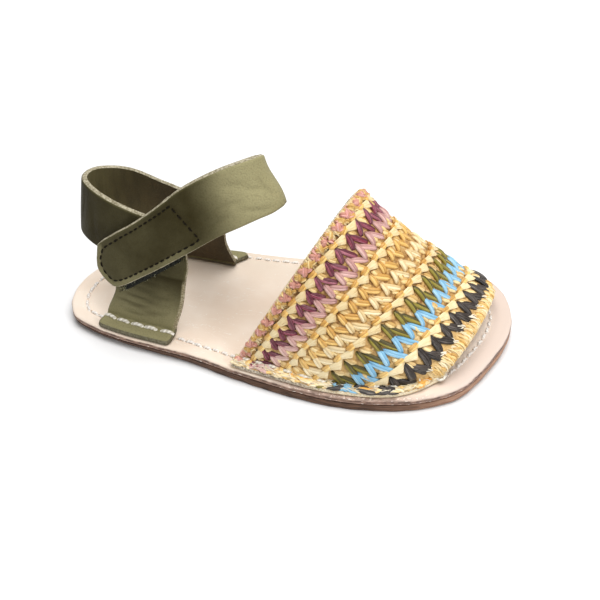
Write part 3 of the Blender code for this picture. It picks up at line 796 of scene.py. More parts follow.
# Vamp: ladders and filling strands
# Between the coloured pairs runs a twisted ladder: a gold strand and a flat pale ribbon wound round it.
# Short strands of the ground show beside the chevrons, the black ones end in frayed white tips, and
# along the first ladder, where it was drawn through, black strands paint the shade in its gaps.
LADDER_GOLD = Stroke(-0.20, -1.34, -0.125, -0.70, 0.00185, 0.0012, 0.00062, 0.0002, 0.0005)
LADDER_RIBBON = Stroke(-0.17, -1.04, 0.12, -0.10, 0.0027, 0.0005, 0.00070, 0.0005, 0.0005, 0.0, 0.9)
FILL_BEHIND = Stroke(0.0, 0.20, 0.64, 0.38, 0.0020, 0.0009, 0.00028, 0.0002, 0.0004)
FILL_MOUTH = Stroke(0.52, 0.15, 1.18, 0.23, 0.0018, 0.0009, 0.00022, 0.0002, 0.0004)
FILL_AFTER = Stroke(0.95, 0.02, 1.62, 0.34, 0.0021, 0.0009, 0.00018, 0.0003, 0.0004)
FRAYED_TIP = Stroke(1.10, 0.40, 1.46, 0.60, 0.0004, 0.0003, 0.00055, 0.0002, 0.0002)
FRAYED_STRANDS = 4
FILL_JITTER, FRAYED_JITTER, GAP_JITTER = 1.6, 4.0, 2.0
# Black strands that paint the shade in the gaps along the first ladder.
SHADOW_GAP_STROKES = [Stroke(*row) for row in (
    (-0.29, -0.36, -0.22, -0.26, 0.0008, 0.0005, 0.00025),
    (-0.33, 0.00, -0.27, 0.08, 0.0006, 0.0005, 0.00030),
)]
RIBBON_PROUD = 0.0009
RIBBON_WIDTHS = (0.40, 1.15)
RIBBON_HEIGHTS = (1.2, 0.7)
LADDER_PLIES, FILL_PLIES = 2, 2


def flare(strokes):
    """Widen ribbons towards their ends, where each stands proud in a point."""
    paths, ways, widths, heights, skews, plies = strokes
    raised = paths + ways * (RIBBON_PROUD * STRAND_STEPS ** 4)[None, :, None]
    grown = widths.max(axis=1)[:, None] * led(*RIBBON_WIDTHS)
    thinned = heights.max(axis=1)[:, None] * led(*RIBBON_HEIGHTS)
    return [raised, ways, grown, thinned, skews * STRAND_STEPS[None, :, None], plies]


def moved(stroke, along):
    """A stroke laid further along its row."""
    return stroke._replace(from_along=stroke.from_along + along, to_along=stroke.to_along + along)


gold_laid, ribbon_laid, fill_laid = [], [], []
for row in WEAVE_ROWS:
    reaches = row_reaches(row)
    if row.ladder is not None:
        rungs = np.append(reaches, reaches[-1] + row.pitch)
        gold_laid.append(lay_strokes(row, moved(LADDER_GOLD, row.ladder), LADDER_PLIES, rungs))
        ribbon_laid.append(flare(lay_strokes(row, moved(LADDER_RIBBON, row.ladder), 1, rungs)))
        fill_laid.append(lay_strokes(row, FILL_BEHIND, FILL_PLIES, reaches, FILL_JITTER))
    if row.straw in MOUTH_ROWS:
        for stroke in (FILL_MOUTH, FILL_AFTER):
            fill_laid.append(lay_strokes(row, stroke, FILL_PLIES, reaches, FILL_JITTER))
add_straw("ladder_gold", gold_laid, straws["gold"])
add_straw("ladder_ribbon", ribbon_laid, straws["ribbon"])
add_straw("ground_strands", fill_laid, straws["straw"])
black_row = WEAVE_ROWS[-1]
black_reaches = row_reaches(black_row)
tips = [lay_strokes(black_row, FRAYED_TIP, 1, black_reaches, FRAYED_JITTER) for _ in range(FRAYED_STRANDS)]
add_straw("frayed_tips", tips, straws["bleached"])
rear_row = WEAVE_ROWS[0]
# Black strands paint the shade in the gaps along the first ladder.
gaps = [lay_strokes(rear_row, stroke, 1, row_reaches(rear_row), GAP_JITTER) for stroke in SHADOW_GAP_STROKES]
add_straw("painted_shadow_gaps", gaps, straws["black"])


# Vamp: edgings
# At the instep the ends are turned over the edge and bound down, with soft pink knots drawn over them.
# At the toe a row of loose gold ends is turned over the edge in the same way, with low gold knots.
EdgeStep = namedtuple("EdgeStep", "at out lift")
EDGE_WRAP = [EdgeStep(*row) for row in (
    (0.00, 0.0, -0.0003),
    (0.15, 0.20, 0.00026),
    (0.40, 0.62, 0.00030),
    (0.62, 0.96, 0.00018),
    (0.72, 1.04, -0.0005),
    (0.84, 1.01, -0.0016),
    (1.00, 0.70, -0.0018),
)]
EDGING_HALF_WIDTH = 0.000253
EDGING_MARGIN = 0.0010
TUFT_GATHERED = 0.25
TUFT_LOOSE = 0.35
TUFT_START_SLACK = 0.010
TUFT_SIZE_SLACK = 0.16
TUFT_LIFT_SLACK = 0.00022
TUFT_BARREL = (4.0, 0.05)
TUFT_FLATNESS = 0.8
Edging = namedtuple("Edging", "name edge start latest slant pitch strands fan straws")
EDGINGS = [Edging(*row) for row in (
    ("rear_edging", 0.0, 0.050, 0.06, 0.0, 0.0013, 7, 0.0008, ("cream", "straw", "rose", "cream")),
    ("front_edging", 1.0, 0.880, 0.958, 2.5, 0.0015, 9, 0.0010, ("straw", "gold", "straw", "cream")),
)]
KNOT_MARGIN = 0.0015
KNOT_PLIES, FRONT_KNOT_PLIES = 5, 3
KNOT_JITTER, FRONT_KNOT_JITTER = 2.5, 2.0
KNOT_ROWS = [WeaveRow(*row) for row in (
    ("rose", 0.004, 0.040, 0.0, 0.0051, 0.0008),
    ("straw", 0.004, 0.040, 0.0, 0.0051, 0.0034),
)]
FRONT_KNOT_ROWS = [WeaveRow(*row) for row in (
    ("gold", 0.925, 0.060, 0.0, 0.0045, 0.0),
    ("straw", 0.925, 0.060, 0.0, 0.0045, 0.0022),
)]
FRONT_KNOT = Stroke(0.0, -0.10, 1.0, 0.10, 0.0015, 0.0010, 0.00035, 0.0003, 0.0003)
KNOT_STROKES = [Stroke(*row) for row in (
    (0.00, -0.34, 0.62, -0.08, 0.0016, 0.0012, 0.00050, 0.0003, 0.0003, 0.06),
    (0.15, 0.16, 0.80, -0.20, 0.0015, 0.0011, 0.00060, 0.0003, 0.0003, -0.05),
    (0.66, -0.05, 1.10, 0.26, 0.0013, 0.0010, 0.00045, 0.0003, 0.0003, 0.05),
)]


def lay_tufts(edging, centres, starts):
    """Strands that leave each centre in a fan, run to the vamp's edge and wrap round it to the inside."""
    at, outs, lifts = zip(*EDGE_WRAP)
    out_share, lift = (np.interp(STRAND_STEPS, at, column) for column in (outs, lifts))
    spread = np.linspace(-1.0, 1.0, edging.strands) * edging.fan
    loose = chance.normal(0.0, TUFT_LOOSE * edging.fan, (len(centres), edging.strands))
    asides = (spread + loose).ravel()[:, None]
    fanned = TUFT_GATHERED + (1.0 - TUFT_GATHERED) * np.clip(out_share, 0.0, 1.0)
    reaches = np.repeat(centres, edging.strands)[:, None] + asides * fanned
    begins = np.repeat(starts, edging.strands)[:, None] + chance.normal(0.0, TUFT_START_SLACK, asides.shape)
    shares = begins + (edging.edge - begins) * out_share
    points, out = vamp_spot(shares, reaches)
    size = 1.0 + chance.normal(0.0, TUFT_SIZE_SLACK, asides.shape)
    heights = lift + chance.normal(0.0, TUFT_LIFT_SLACK, asides.shape) * STRAND_ARCH
    widths = EDGING_HALF_WIDTH * barrel(*TUFT_BARREL) * size
    skews = np.zeros((len(asides), 1, 1))
    plies = chance.uniform(0.0, 1.0, len(asides))
    return [points + out * heights[..., None], out, widths, widths * TUFT_FLATNESS, skews, plies]


def add_edging(edging):
    """Tufts along one edge of the vamp, in straws that take turns."""
    near, far = vamp_edges(edging.edge)
    centres = np.arange(near + EDGING_MARGIN, far - EDGING_MARGIN, edging.pitch)
    slant = np.clip(centres - SLANT_FROM, -SLANT_REACH, SLANT_REACH) * edging.slant
    starts = np.minimum(edging.start + slant, edging.latest)
    turn = np.arange(len(centres)) % len(edging.straws)
    for straw in dict.fromkeys(edging.straws):
        mine = np.isin(turn, [place for place, other in enumerate(edging.straws) if other == straw])
        add_straw(f"{edging.name}_{straw}", [lay_tufts(edging, centres[mine], starts[mine])], straws[straw])


for edging in EDGINGS:
    add_edging(edging)
for row in KNOT_ROWS:
    reaches = row_reaches(row, KNOT_MARGIN)
    knots = [lay_strokes(row, stroke, KNOT_PLIES, reaches, KNOT_JITTER) for stroke in KNOT_STROKES]
    add_straw(f"rear_knots_{row.straw}", knots, straws[row.straw])
for row in FRONT_KNOT_ROWS:
    reaches = row_reaches(row, KNOT_MARGIN)
    knots = [lay_strokes(row, FRONT_KNOT, FRONT_KNOT_PLIES, reaches, FRONT_KNOT_JITTER)]
    add_straw(f"front_knots_{row.straw}", knots, straws[row.straw])


# Vamp: matted sides
# Along both flanges the rows' ends are pressed flat under the sewing and matted together,
# with loose pale fibres that stray along the cut edge.
VAMP_SIDE = 0.060
SideRun = namedtuple("SideRun", "straw start end strands size", defaults=(1.0,))
SIDE_RUNS = [SideRun(*row) for row in (
    ("cream", 0.00, 0.09, 26),
    ("gold", 0.02, 0.10, 10),
    ("plum", 0.07, 0.14, 14),
    ("pink", 0.12, 0.20, 20),
    ("gold", 0.18, 0.47, 46),
    ("straw", 0.18, 0.47, 44),
    ("cream", 0.18, 0.47, 44),
    ("olive", 0.45, 0.52, 16),
    ("blue", 0.51, 0.59, 20),
    ("cream", 0.57, 0.72, 30),
    ("amber", 0.03, 0.09, 3),
    ("amber", 0.28, 0.44, 8),
    ("amber", 0.62, 0.95, 16, 1.2),
    ("black", 0.50, 0.52, 3, 1.3),
    ("black", 0.60, 0.63, 4, 1.5),
    ("black", 0.69, 0.74, 7, 1.6),
    ("gold", 0.58, 1.00, 60),
    ("straw", 0.62, 1.00, 44),
    ("cream", 0.72, 1.00, 34),
)]
SIDE_BAND = (0.0002, 0.0046)
SIDE_SLANT = 0.45
SIDE_SINK = 0.0002
SIDE_OVERHANG = 0.01
SIDE_BARREL = (3.0, 0.04)
SIDE_FLATNESS = 0.6
SideSpans = namedtuple("SideSpans", "lengths widths lifts")
SIDE_SPANS = SideSpans((0.0018, 0.0042), (0.0007, 0.0014), (0.0001, 0.0006))
STRAY_SPANS = SideSpans((0.0012, 0.0040), (0.00016, 0.00030), (0.0004, 0.0011))
STRAY_COUNT = 300


def lay_sides(start, end, strands, spans, size=1.0):
    """Strands pressed flat along both sides of the vamp, each at a slant of its own."""
    each = (2 * strands, 1)
    lengths, widths, lifts = np.multiply(spans, size)
    steps, body = STRAND_STEPS - 0.5, barrel(*SIDE_BARREL)
    on_far_side = np.arange(2 * strands)[:, None] % 2 == 1
    length = chance.uniform(*lengths, each)
    shares = chance.uniform(start, end, each) + steps * length / VAMP_SIDE
    insets = chance.uniform(*SIDE_BAND, each) + steps * length * chance.normal(0.0, SIDE_SLANT, each)
    insets = np.maximum(insets, 0.0)
    near, far = vamp_edges(shares)
    reaches = np.where(on_far_side, far - insets, near + insets)
    points, out = vamp_spot(np.clip(shares, -SIDE_OVERHANG, 1.0 + SIDE_OVERHANG), reaches)
    half_width = chance.uniform(*widths, each) / 2.0 * body
    lift = chance.uniform(*lifts, each) * body - SIDE_SINK * (1.0 - body)
    skews = np.zeros((*each, 1))
    plies = chance.uniform(0.0, 1.0, 2 * strands)
    return [points + out * lift[..., None], out, half_width, half_width * SIDE_FLATNESS, skews, plies]


for straw in dict.fromkeys(run.straw for run in SIDE_RUNS):
    laid = [lay_sides(run.start, run.end, run.strands, SIDE_SPANS, run.size)
            for run in SIDE_RUNS if run.straw == straw]
    add_straw("side_strands_" + straw, laid, straws[straw])
add_straw("side_fibres", [lay_sides(0.0, 1.0, STRAY_COUNT, STRAY_SPANS)], straws["bleached"])


# Straps
# One strapping of olive cowhide: a tab on each side sewn to the sole, the band round the heel and the
# strap over the instep, which folds back and is fastened on the near side. Its cut edges are raw and pale.
STRAP_THICKNESS = 0.0017
STRAP_COLUMNS = 301
STRAP_ROWS = 41
TAB_WALL_ROWS = 22
TAB_BEND_ROWS = 6
TAB_FLANGE_ROWS = 6
FLANGE_CORNER = 0.0016
TAB_BEND = 0.0014
TAB_FLARE = 3
EDGE_ROUND = 0.0008
EDGE_DROP = 0.00022
CUT_BEVEL = 0.00022
CUT_BULGE = 0.00015
FOLD_ROUND = 0.0006
FOLD_SPREAD = 5.0
FOLD_SWEEP = 268.0
AnkleLevel = namedtuple("AnkleLevel", "height along across half_length half_width")
ANKLE_LEVELS = [AnkleLevel(*row) for row in (
    (0.005, 0.0330, 0.0000, 0.0300, 0.0177),
    (0.020, 0.0341, 0.0003, 0.0311, 0.0162),
    (0.035, 0.0361, 0.0006, 0.0325, 0.0142),
    (0.050, 0.0364, 0.0010, 0.0310, 0.0117),
    (0.059, 0.0347, 0.0013, 0.0278, 0.0102),
    (0.068, 0.0341, 0.0015, 0.0259, 0.0087),
)]
StrapPlace = namedtuple("StrapPlace", "sweep lower upper lift", defaults=(0.0,))
STRAP_RUN = [StrapPlace(*row) for row in (
    (-12.3, 0.0260, 0.0290),
    (-10.5, 0.0261, 0.0335),
    (-8.0, 0.0262, 0.0390),
    (-4.0, 0.0264, 0.0436),
    (12.0, 0.0270, 0.0448),
    (35.0, 0.0283, 0.0462),
    (60.0, 0.0286, 0.0474),
    (92.0, 0.0282, 0.0474),
    (118.0, 0.0275, 0.0468),
    (142.0, 0.0250, 0.0444),
    (163.0, 0.0200, 0.0389),
    (176.0, 0.0178, 0.0366),
    (190.0, 0.0205, 0.0410),
    (205.0, 0.0270, 0.0486),
    (220.0, 0.0338, 0.0542),
    (235.0, 0.0400, 0.0582),
    (250.0, 0.0446, 0.0612),
    (265.0, 0.0472, 0.0638, 0.0002),
    (280.0, 0.0484, 0.0652, 0.0006),
    (294.0, 0.0482, 0.0656, 0.0010),
    (308.0, 0.0476, 0.0653, 0.0016),
    (322.0, 0.0460, 0.0644, 0.0026),
    (335.0, 0.0434, 0.0624, 0.0036),
    (348.0, 0.0384, 0.0589, 0.0044),
    (370.0, 0.0271, 0.0484, 0.0044),
    (379.0, 0.0226, 0.0434, 0.0044),
    (384.0, 0.0211, 0.0409, 0.0044),
    (389.0, 0.0221, 0.0382, 0.0044),
    (393.0, 0.0237, 0.0360, 0.0044),
    (395.6, 0.0255, 0.0343, 0.0044),
    (397.1, 0.0284, 0.0332, 0.0044),
)]
TabLevel = namedtuple("TabLevel", "drop front rear")
LATERAL_TAB = [TabLevel(*row) for row in (
    (0.0, -12.3, 46.0),
    (0.2, -12.8, 34.0),
    (0.5, -13.0, 30.5),
    (1.0, -10.0, 37.5),
)]
MEDIAL_TAB = [TabLevel(*row) for row in (
    (0.0, 213.0, 153.0),
    (0.2, 201.0, 164.0),
    (0.5, 200.0, 166.0),
    (1.0, 207.0, 161.0),
)]
Tab = namedtuple("Tab", "medial levels first last edge_inset flange splay narrowing")
TABS = (
    Tab(False, LATERAL_TAB, -12.3, 43.0, 0.0005, 0.0049, 0.0, 0.0),
    Tab(True, MEDIAL_TAB, 155.0, 213.0, 0.0020, 0.0050, 0.0032, 0.0018),
)
CROSS_SEAM_UPPER, CROSS_SEAM_LOWER = 357.0, 340.5
CROSS_SEAM_STOP = 0.0006
SWEEP_MARGIN = 0.01
END_SEAM_INSET = 0.0021
END_SEAM_CLEAR = 0.98
END_SEAM_STEP = 0.00025
GROOVE_DEPTH = 0.00030
GROOVE_WIDTH = 0.00060
GROOVE_SWEEPS_BEFORE = 8.0
# Painted light and shade along the strapping, by sweep: darker on the heel band and the strap's end, lighter
# with a painted sheen over the instep.
LeatherTone = namedtuple("LeatherTone", "sweep tone")
LEATHER_LIGHT_TONES = [LeatherTone(*row) for row in (
    (-12.0, 0.24),
    (60.0, 0.06),
    (130.0, 0.10),
    (210.0, 0.45),
    (258.0, 0.78),
    (280.0, 0.90),
    (306.0, 1.00),
    (322.0, 0.76),
    (338.0, 0.26),
    (346.0, 0.10),
    (360.0, 0.10),
    (380.0, 0.17),
    (397.0, 0.20),
)]
# The tabs are painted darker at the top of their walls and lighter at their feet and flanges, as painted
# light and shade.
TAB_WALL_LIGHT_TONES = (0.08, 0.76)
TAB_FLANGE_LIGHT_TONE = 0.72
# Painted highlight on the raised rim outside the seam at the strap's end.
RIM_WIDTH = 0.0021
RIM_HIGHLIGHT_TONE = 0.30
RIM_FADE = 0.0005
RIM_START_SWEEPS = 12.0
# Painted shade on the flesh side: lighter inside the heel band, darker and browner towards the far tab.
FLESH_SHADE_TONES = [LeatherTone(*row) for row in ((60.0, 0.90), (118.0, 0.80), (148.0, 0.40), (172.0, 0.05))]
# Depth at which a crease takes its full painted shade, and the share of that shade on the strap.
CREASE_FULL = 0.00025
CREASE_SHADE_ON_STRAP = 0.2
Crease = namedtuple("Crease", "sweep height turn length width depth bow")
STRAP_CREASES = [Crease(*row) for row in (
    (309.0, 0.0508, 12.0, 0.0110, 0.0009, 0.00030, 0.0006),
    (302.5, 0.0567, 20.0, 0.0080, 0.0008, 0.00022, 0.0004),
    (323.0, 0.0537, -8.0, 0.0090, 0.0009, 0.00026, -0.0005),
    (316.0, 0.0590, 5.0, 0.0100, 0.0010, 0.00022, 0.0004),
    (290.0, 0.0560, 70.0, 0.0090, 0.0011, 0.00025, 0.0006),
    (332.0, 0.0490, -30.0, 0.0080, 0.0010, 0.00022, 0.0),
    (52.0, 0.0370, 84.0, 0.0150, 0.0012, 0.00022, 0.0006),
    (66.0, 0.0390, 95.0, 0.0160, 0.0010, 0.00020, -0.0005),
    (78.0, 0.0375, 88.0, 0.0170, 0.0013, 0.00024, 0.0004),
    (93.0, 0.0380, 92.0, 0.0160, 0.0011, 0.00020, 0.0),
    (104.0, 0.0370, 86.0, 0.0170, 0.0012, 0.00024, 0.0005),
    (119.0, 0.0360, 94.0, 0.0150, 0.0012, 0.00022, -0.0006),
    (133.0, 0.0350, 80.0, 0.0150, 0.0013, 0.00022, 0.0),
    (6.0, 0.0222, 9.0, 0.0130, 0.0005, 0.00016, 0.0007),
    (16.0, 0.0200, 5.0, 0.0150, 0.0005, 0.00018, 0.0006),
    (4.0, 0.0184, 7.0, 0.0140, 0.0005, 0.00018, 0.0006),
    (13.0, 0.0166, 3.0, 0.0170, 0.0005, 0.00022, 0.0008),
    (3.0, 0.0150, 6.0, 0.0120, 0.0004, 0.00020, 0.0006),
    (17.0, 0.0136, 2.0, 0.0150, 0.0005, 0.00024, 0.0008),
    (8.0, 0.0122, 4.0, 0.0170, 0.0005, 0.00026, 0.0008),
    (14.0, 0.0104, 0.0, 0.0150, 0.0005, 0.00024, 0.0006),
    (182.0, 0.0140, 3.0, 0.0150, 0.0008, 0.00020, 0.0004),
    (184.0, 0.0110, -3.0, 0.0160, 0.0008, 0.00020, 0.0),
    (368.0, 0.0400, -52.0, 0.0070, 0.0009, 0.00018, 0.0),
    (379.0, 0.0330, -48.0, 0.0060, 0.0009, 0.00016, 0.0),
)]


def ankle_point(sweep, height, lift=0.0):
    """Points round the ankle form by sweep from its near side, in degrees, and height, lifted off it."""
    turn = np.radians(sweep)
    along, across, half_length, half_width = columns_at(ANKLE_LEVELS, height)
    along = along - (half_length + lift) * np.sin(turn) + HEEL_X
    across = across - (half_width + lift) * np.cos(turn) + MIDDLE_Y
    return np.stack(np.broadcast_arrays(along, across, height), axis=-1)


strap_sweeps = np.linspace(STRAP_RUN[0].sweep, STRAP_RUN[-1].sweep, STRAP_COLUMNS)
strap_lower, strap_upper, strap_lift = columns_at(STRAP_RUN, strap_sweeps)
strap_lower += FOLD_ROUND * np.exp(-(((strap_sweeps - FOLD_SWEEP) / FOLD_SPREAD) ** 2))
strap_shares = np.linspace(0.0, 1.0, STRAP_ROWS)
strap_heights = strap_lower[:, None] + (strap_upper - strap_lower)[:, None] * strap_shares
strap_grid = ankle_point(strap_sweeps[:, None], strap_heights, strap_lift[:, None])
strap_travel = travel_along(strap_grid[:, STRAP_ROWS // 2])


def strap_spot(grid, travel, heights):
    """Points of a grid over the strap, by travel along its middle and height."""
    columns = np.interp(travel, strap_travel, np.arange(STRAP_COLUMNS))
    lower, upper = (np.interp(travel, strap_travel, edge) for edge in (strap_lower, strap_upper))
    return between(grid, columns, (heights - lower) / (upper - lower) * (STRAP_ROWS - 1))


def end_seam():
    """Travel and height of places on the seam round the strap's end, and back across it."""
    upper_from, lower_from = np.interp((CROSS_SEAM_UPPER, CROSS_SEAM_LOWER), strap_sweeps, strap_travel)
    edges = [np.column_stack((strap_travel, edge)) for edge in (strap_upper, strap_lower)]
    border = np.vstack((edges[0][strap_travel > upper_from], edges[1][strap_travel > lower_from][::-1]))
    ahead = unit(np.gradient(border, axis=0))
    seam = border + np.column_stack((ahead[:, 1], -ahead[:, 0])) * END_SEAM_INSET
    gaps = np.linalg.norm(seam[:, None] - border[None], axis=2).min(axis=1)
    seam = seam[gaps > END_SEAM_CLEAR * END_SEAM_INSET]
    seam = np.vstack((seam, border[:1] + (0.0, -CROSS_SEAM_STOP)))
    travel = travel_along(seam)
    return at_travel(seam, travel, np.arange(0.0, travel[-1], END_SEAM_STEP))


strap_seam = end_seam()


def groove_depths():
    """How far the seam's thread pulls in the strap's points."""
    thread = strap_spot(strap_grid, *strap_seam.T)
    depths = np.zeros((STRAP_COLUMNS, STRAP_ROWS))
    near = strap_sweeps > CROSS_SEAM_LOWER - GROOVE_SWEEPS_BEFORE
    apart = np.linalg.norm(strap_grid[near][:, :, None] - thread, axis=3).min(axis=2)
    depths[near] = GROOVE_DEPTH * np.exp(-((apart / GROOVE_WIDTH) ** 2))
    return depths.ravel()


def lay_tab(tab, columns):
    """Points and sweeps down a tab from the strap's lower edge: its wall, its bend and its flange."""
    tops = strap_grid[columns, 0]
    across_tab = np.linspace(0.0, 1.0, len(columns))[:, None]
    drop = np.linspace(0.0, 1.0, TAB_WALL_ROWS + 1)[1:]
    first, last = ("rear", "front") if tab.medial else ("front", "rear")
    begin, end = (smooth(tab.levels, side, drop) for side in (first, last))
    sweeps = begin + (end - begin) * across_tab
    flange_height = footbed_top + FIT_GAP + STRAP_THICKNESS / 2.0
    heights = tops[:, 2:] + (flange_height + TAB_BEND - tops[:, 2:]) * drop
    wall = ankle_point(sweeps, heights)
    foot, out = edge_place(tab.medial, wall[..., 0], tab.edge_inset + tab.flange + TAB_BEND)
    narrower = tab.narrowing * (1.0 - across_tab)[:, None]
    foot = foot + out * narrower
    flare_out = (drop ** TAB_FLARE)[:, None]
    wall[..., :2] = wall[..., :2] * (1.0 - flare_out) + foot * flare_out
    foot, out = wall[:, -1:, :2], out[:, -1:]
    turns = np.linspace(0.0, math.pi / 2.0, TAB_BEND_ROWS + 1)[1:, None]
    bend = foot + out * TAB_BEND * (1.0 - np.cos(turns))
    bend_heights = np.broadcast_to(flange_height + TAB_BEND * (1.0 - np.sin(turns)), (*bend.shape[:2], 1))
    travel = travel_along(foot[:, 0])
    from_side = np.clip(np.minimum(travel, travel[-1] - travel) / FLANGE_CORNER, 0.0, 1.0)
    corner = FLANGE_CORNER * (1.0 - np.sqrt(1.0 - (1.0 - from_side) ** 2))[:, None, None]
    shares = np.linspace(0.0, 1.0, TAB_FLANGE_ROWS + 1)[1:, None]
    flange = foot + out * (TAB_BEND + shares * (tab.flange - narrower - corner))
    flange[..., 0] += shares[:, 0] * tab.splay * across_tab ** 2
    flange_heights = np.full((*flange.shape[:2], 1), flange_height)
    turned = [np.concatenate(part, -1) for part in ((bend, bend_heights), (flange, flange_heights))]
    unmarked = np.full((len(columns), TAB_BEND_ROWS + TAB_FLANGE_ROWS), np.nan)
    return np.concatenate((wall, *turned), 1), np.concatenate((sweeps, unmarked), 1)


def crease_depths(sweeps, heights):
    """How far the creases press in the strapping at its points."""
    travel = np.interp(sweeps, strap_sweeps, strap_travel)
    depths = np.zeros(len(sweeps))
    for crease in STRAP_CREASES:
        turn = math.radians(crease.turn)
        ahead = travel - np.interp(crease.sweep, strap_sweeps, strap_travel)
        above = heights - crease.height
        along = (ahead * math.cos(turn) + above * math.sin(turn)) / (crease.length / 2.0)
        aside = above * math.cos(turn) - ahead * math.sin(turn) - crease.bow * along ** 2
        fading = np.clip(1.0 - along ** 2, 0.0, 1.0)
        depths += crease.depth * fading * np.exp(-((aside / crease.width) ** 2))
    return np.nan_to_num(depths)


def edge_distances(points, faces):
    """Distance of each point of a sheet from the sheet's nearest edge."""
    rim = sorted({a for a, _ in sheet_rim(faces)})
    rim_tree = KDTree(len(rim))
    for order, place in enumerate(points[rim]):
        rim_tree.insert(place, order)
    rim_tree.balance()
    return np.array([rim_tree.find(point)[2] for point in points])


def rim_shares():
    """How far the strap's points lie in the rim outside the seam, at its end and lower edge."""
    shares = np.zeros((STRAP_COLUMNS, STRAP_ROWS))
    near = strap_sweeps > CROSS_SEAM_LOWER
    border = np.vstack((strap_grid[near, 0], strap_grid[-1]))
    apart = np.linalg.norm(strap_grid[near][:, :, None] - border, axis=3).min(axis=2)
    started = np.clip((strap_sweeps[near] - CROSS_SEAM_LOWER) / RIM_START_SWEEPS, 0.0, 1.0)
    shares[near] = np.clip((RIM_WIDTH - apart) / RIM_FADE, 0.0, 1.0) * started[:, None]
    return shares


def leather_finish():
    finish = Finish("olive_leather", Specular_IOR_Level=0.06)
    cells = {"Vector": finish.place(2300.0), "Scale": 1.0}
    pebbles = finish.node("TexVoronoi", {"feature": "SMOOTH_F1"}, cells)
    fine = finish.noise(2600.0)
    cloudy = finish.noise(95.0)
    edge = finish.value("edge")
    # Painted light and shade: the tone table, with a random cloudy variation, sets the olive from dark to
    # light.
    tone = finish.value("tone") + (cloudy - 0.5) * 0.30
    face = finish.mix(tone.ease(-0.1, 1.1), (37, 30, 3), (162, 155, 116))
    face = finish.mix(pebbles.ease(0.35, 0.75) * 0.16, face, (46, 39, 12))
    # Painted shade in the creases.
    face = finish.mix(finish.value("crease") * 0.58, face, (36, 30, 6))
    face = finish.mix((1 - edge.ease(0.0002, 0.0010)) * 0.25, face, (120, 116, 82))
    along, across, height = (finish.axis(number) for number in range(3))
    on_tab = along.ease(-0.045, -0.040) * (1 - across.ease(-0.014, -0.010)) * height.ease(0.0068, 0.0085)
    raw = on_tab * (1 - height.ease(0.023, 0.026)) * (1 - edge.ease(0.0006, 0.0012))
    raw_hide = finish.mix(fine.ease(0.40, 0.65), (124, 114, 86), (172, 162, 134))
    face = finish.mix(raw, face, raw_hide)
    finish.feed("Roughness", 0.44 + fine * 0.16)
    return finish.dress(face, fine * 0.35 - pebbles * 0.9, 0.55, 0.00022)


def flesh_finish():
    finish = Finish("leather_flesh", Roughness=0.85)
    nap = finish.noise(1900.0, 4.0)
    drawn = finish.noise((330.0, 330.0, 45.0))
    # Painted shade: the flesh side runs from dark brown to lighter olive by its tone table.
    face = finish.mix(finish.value("flesh"), (66, 51, 25), (106, 100, 62))
    face = finish.mix(drawn.ease(0.35, 0.70) * 0.35, face, (46, 40, 22))
    face = finish.mix(nap.ease(0.45, 0.75) * 0.25, face, (112, 102, 70))
    return finish.dress(face, nap, 0.5, 0.0003)


def cut_finish():
    finish = Finish("leather_cut", Roughness=0.85)
    fibre = finish.noise(1500.0, 4.0)
    blots = finish.noise(420.0, 2.0)
    face = finish.mix(fibre.ease(0.38, 0.62), (124, 115, 90), (178, 170, 146))
    face = finish.mix(blots.ease(0.55, 0.72) * 0.6, face, (92, 82, 54))
    # Painted shade on the cut edges of the tabs' bends and flanges, which face away from the light.
    face = finish.mix(finish.value("flange_cut_shade") * 0.75, face, (72, 68, 44))
    return finish.dress(face, fibre, 0.7, 0.0003)


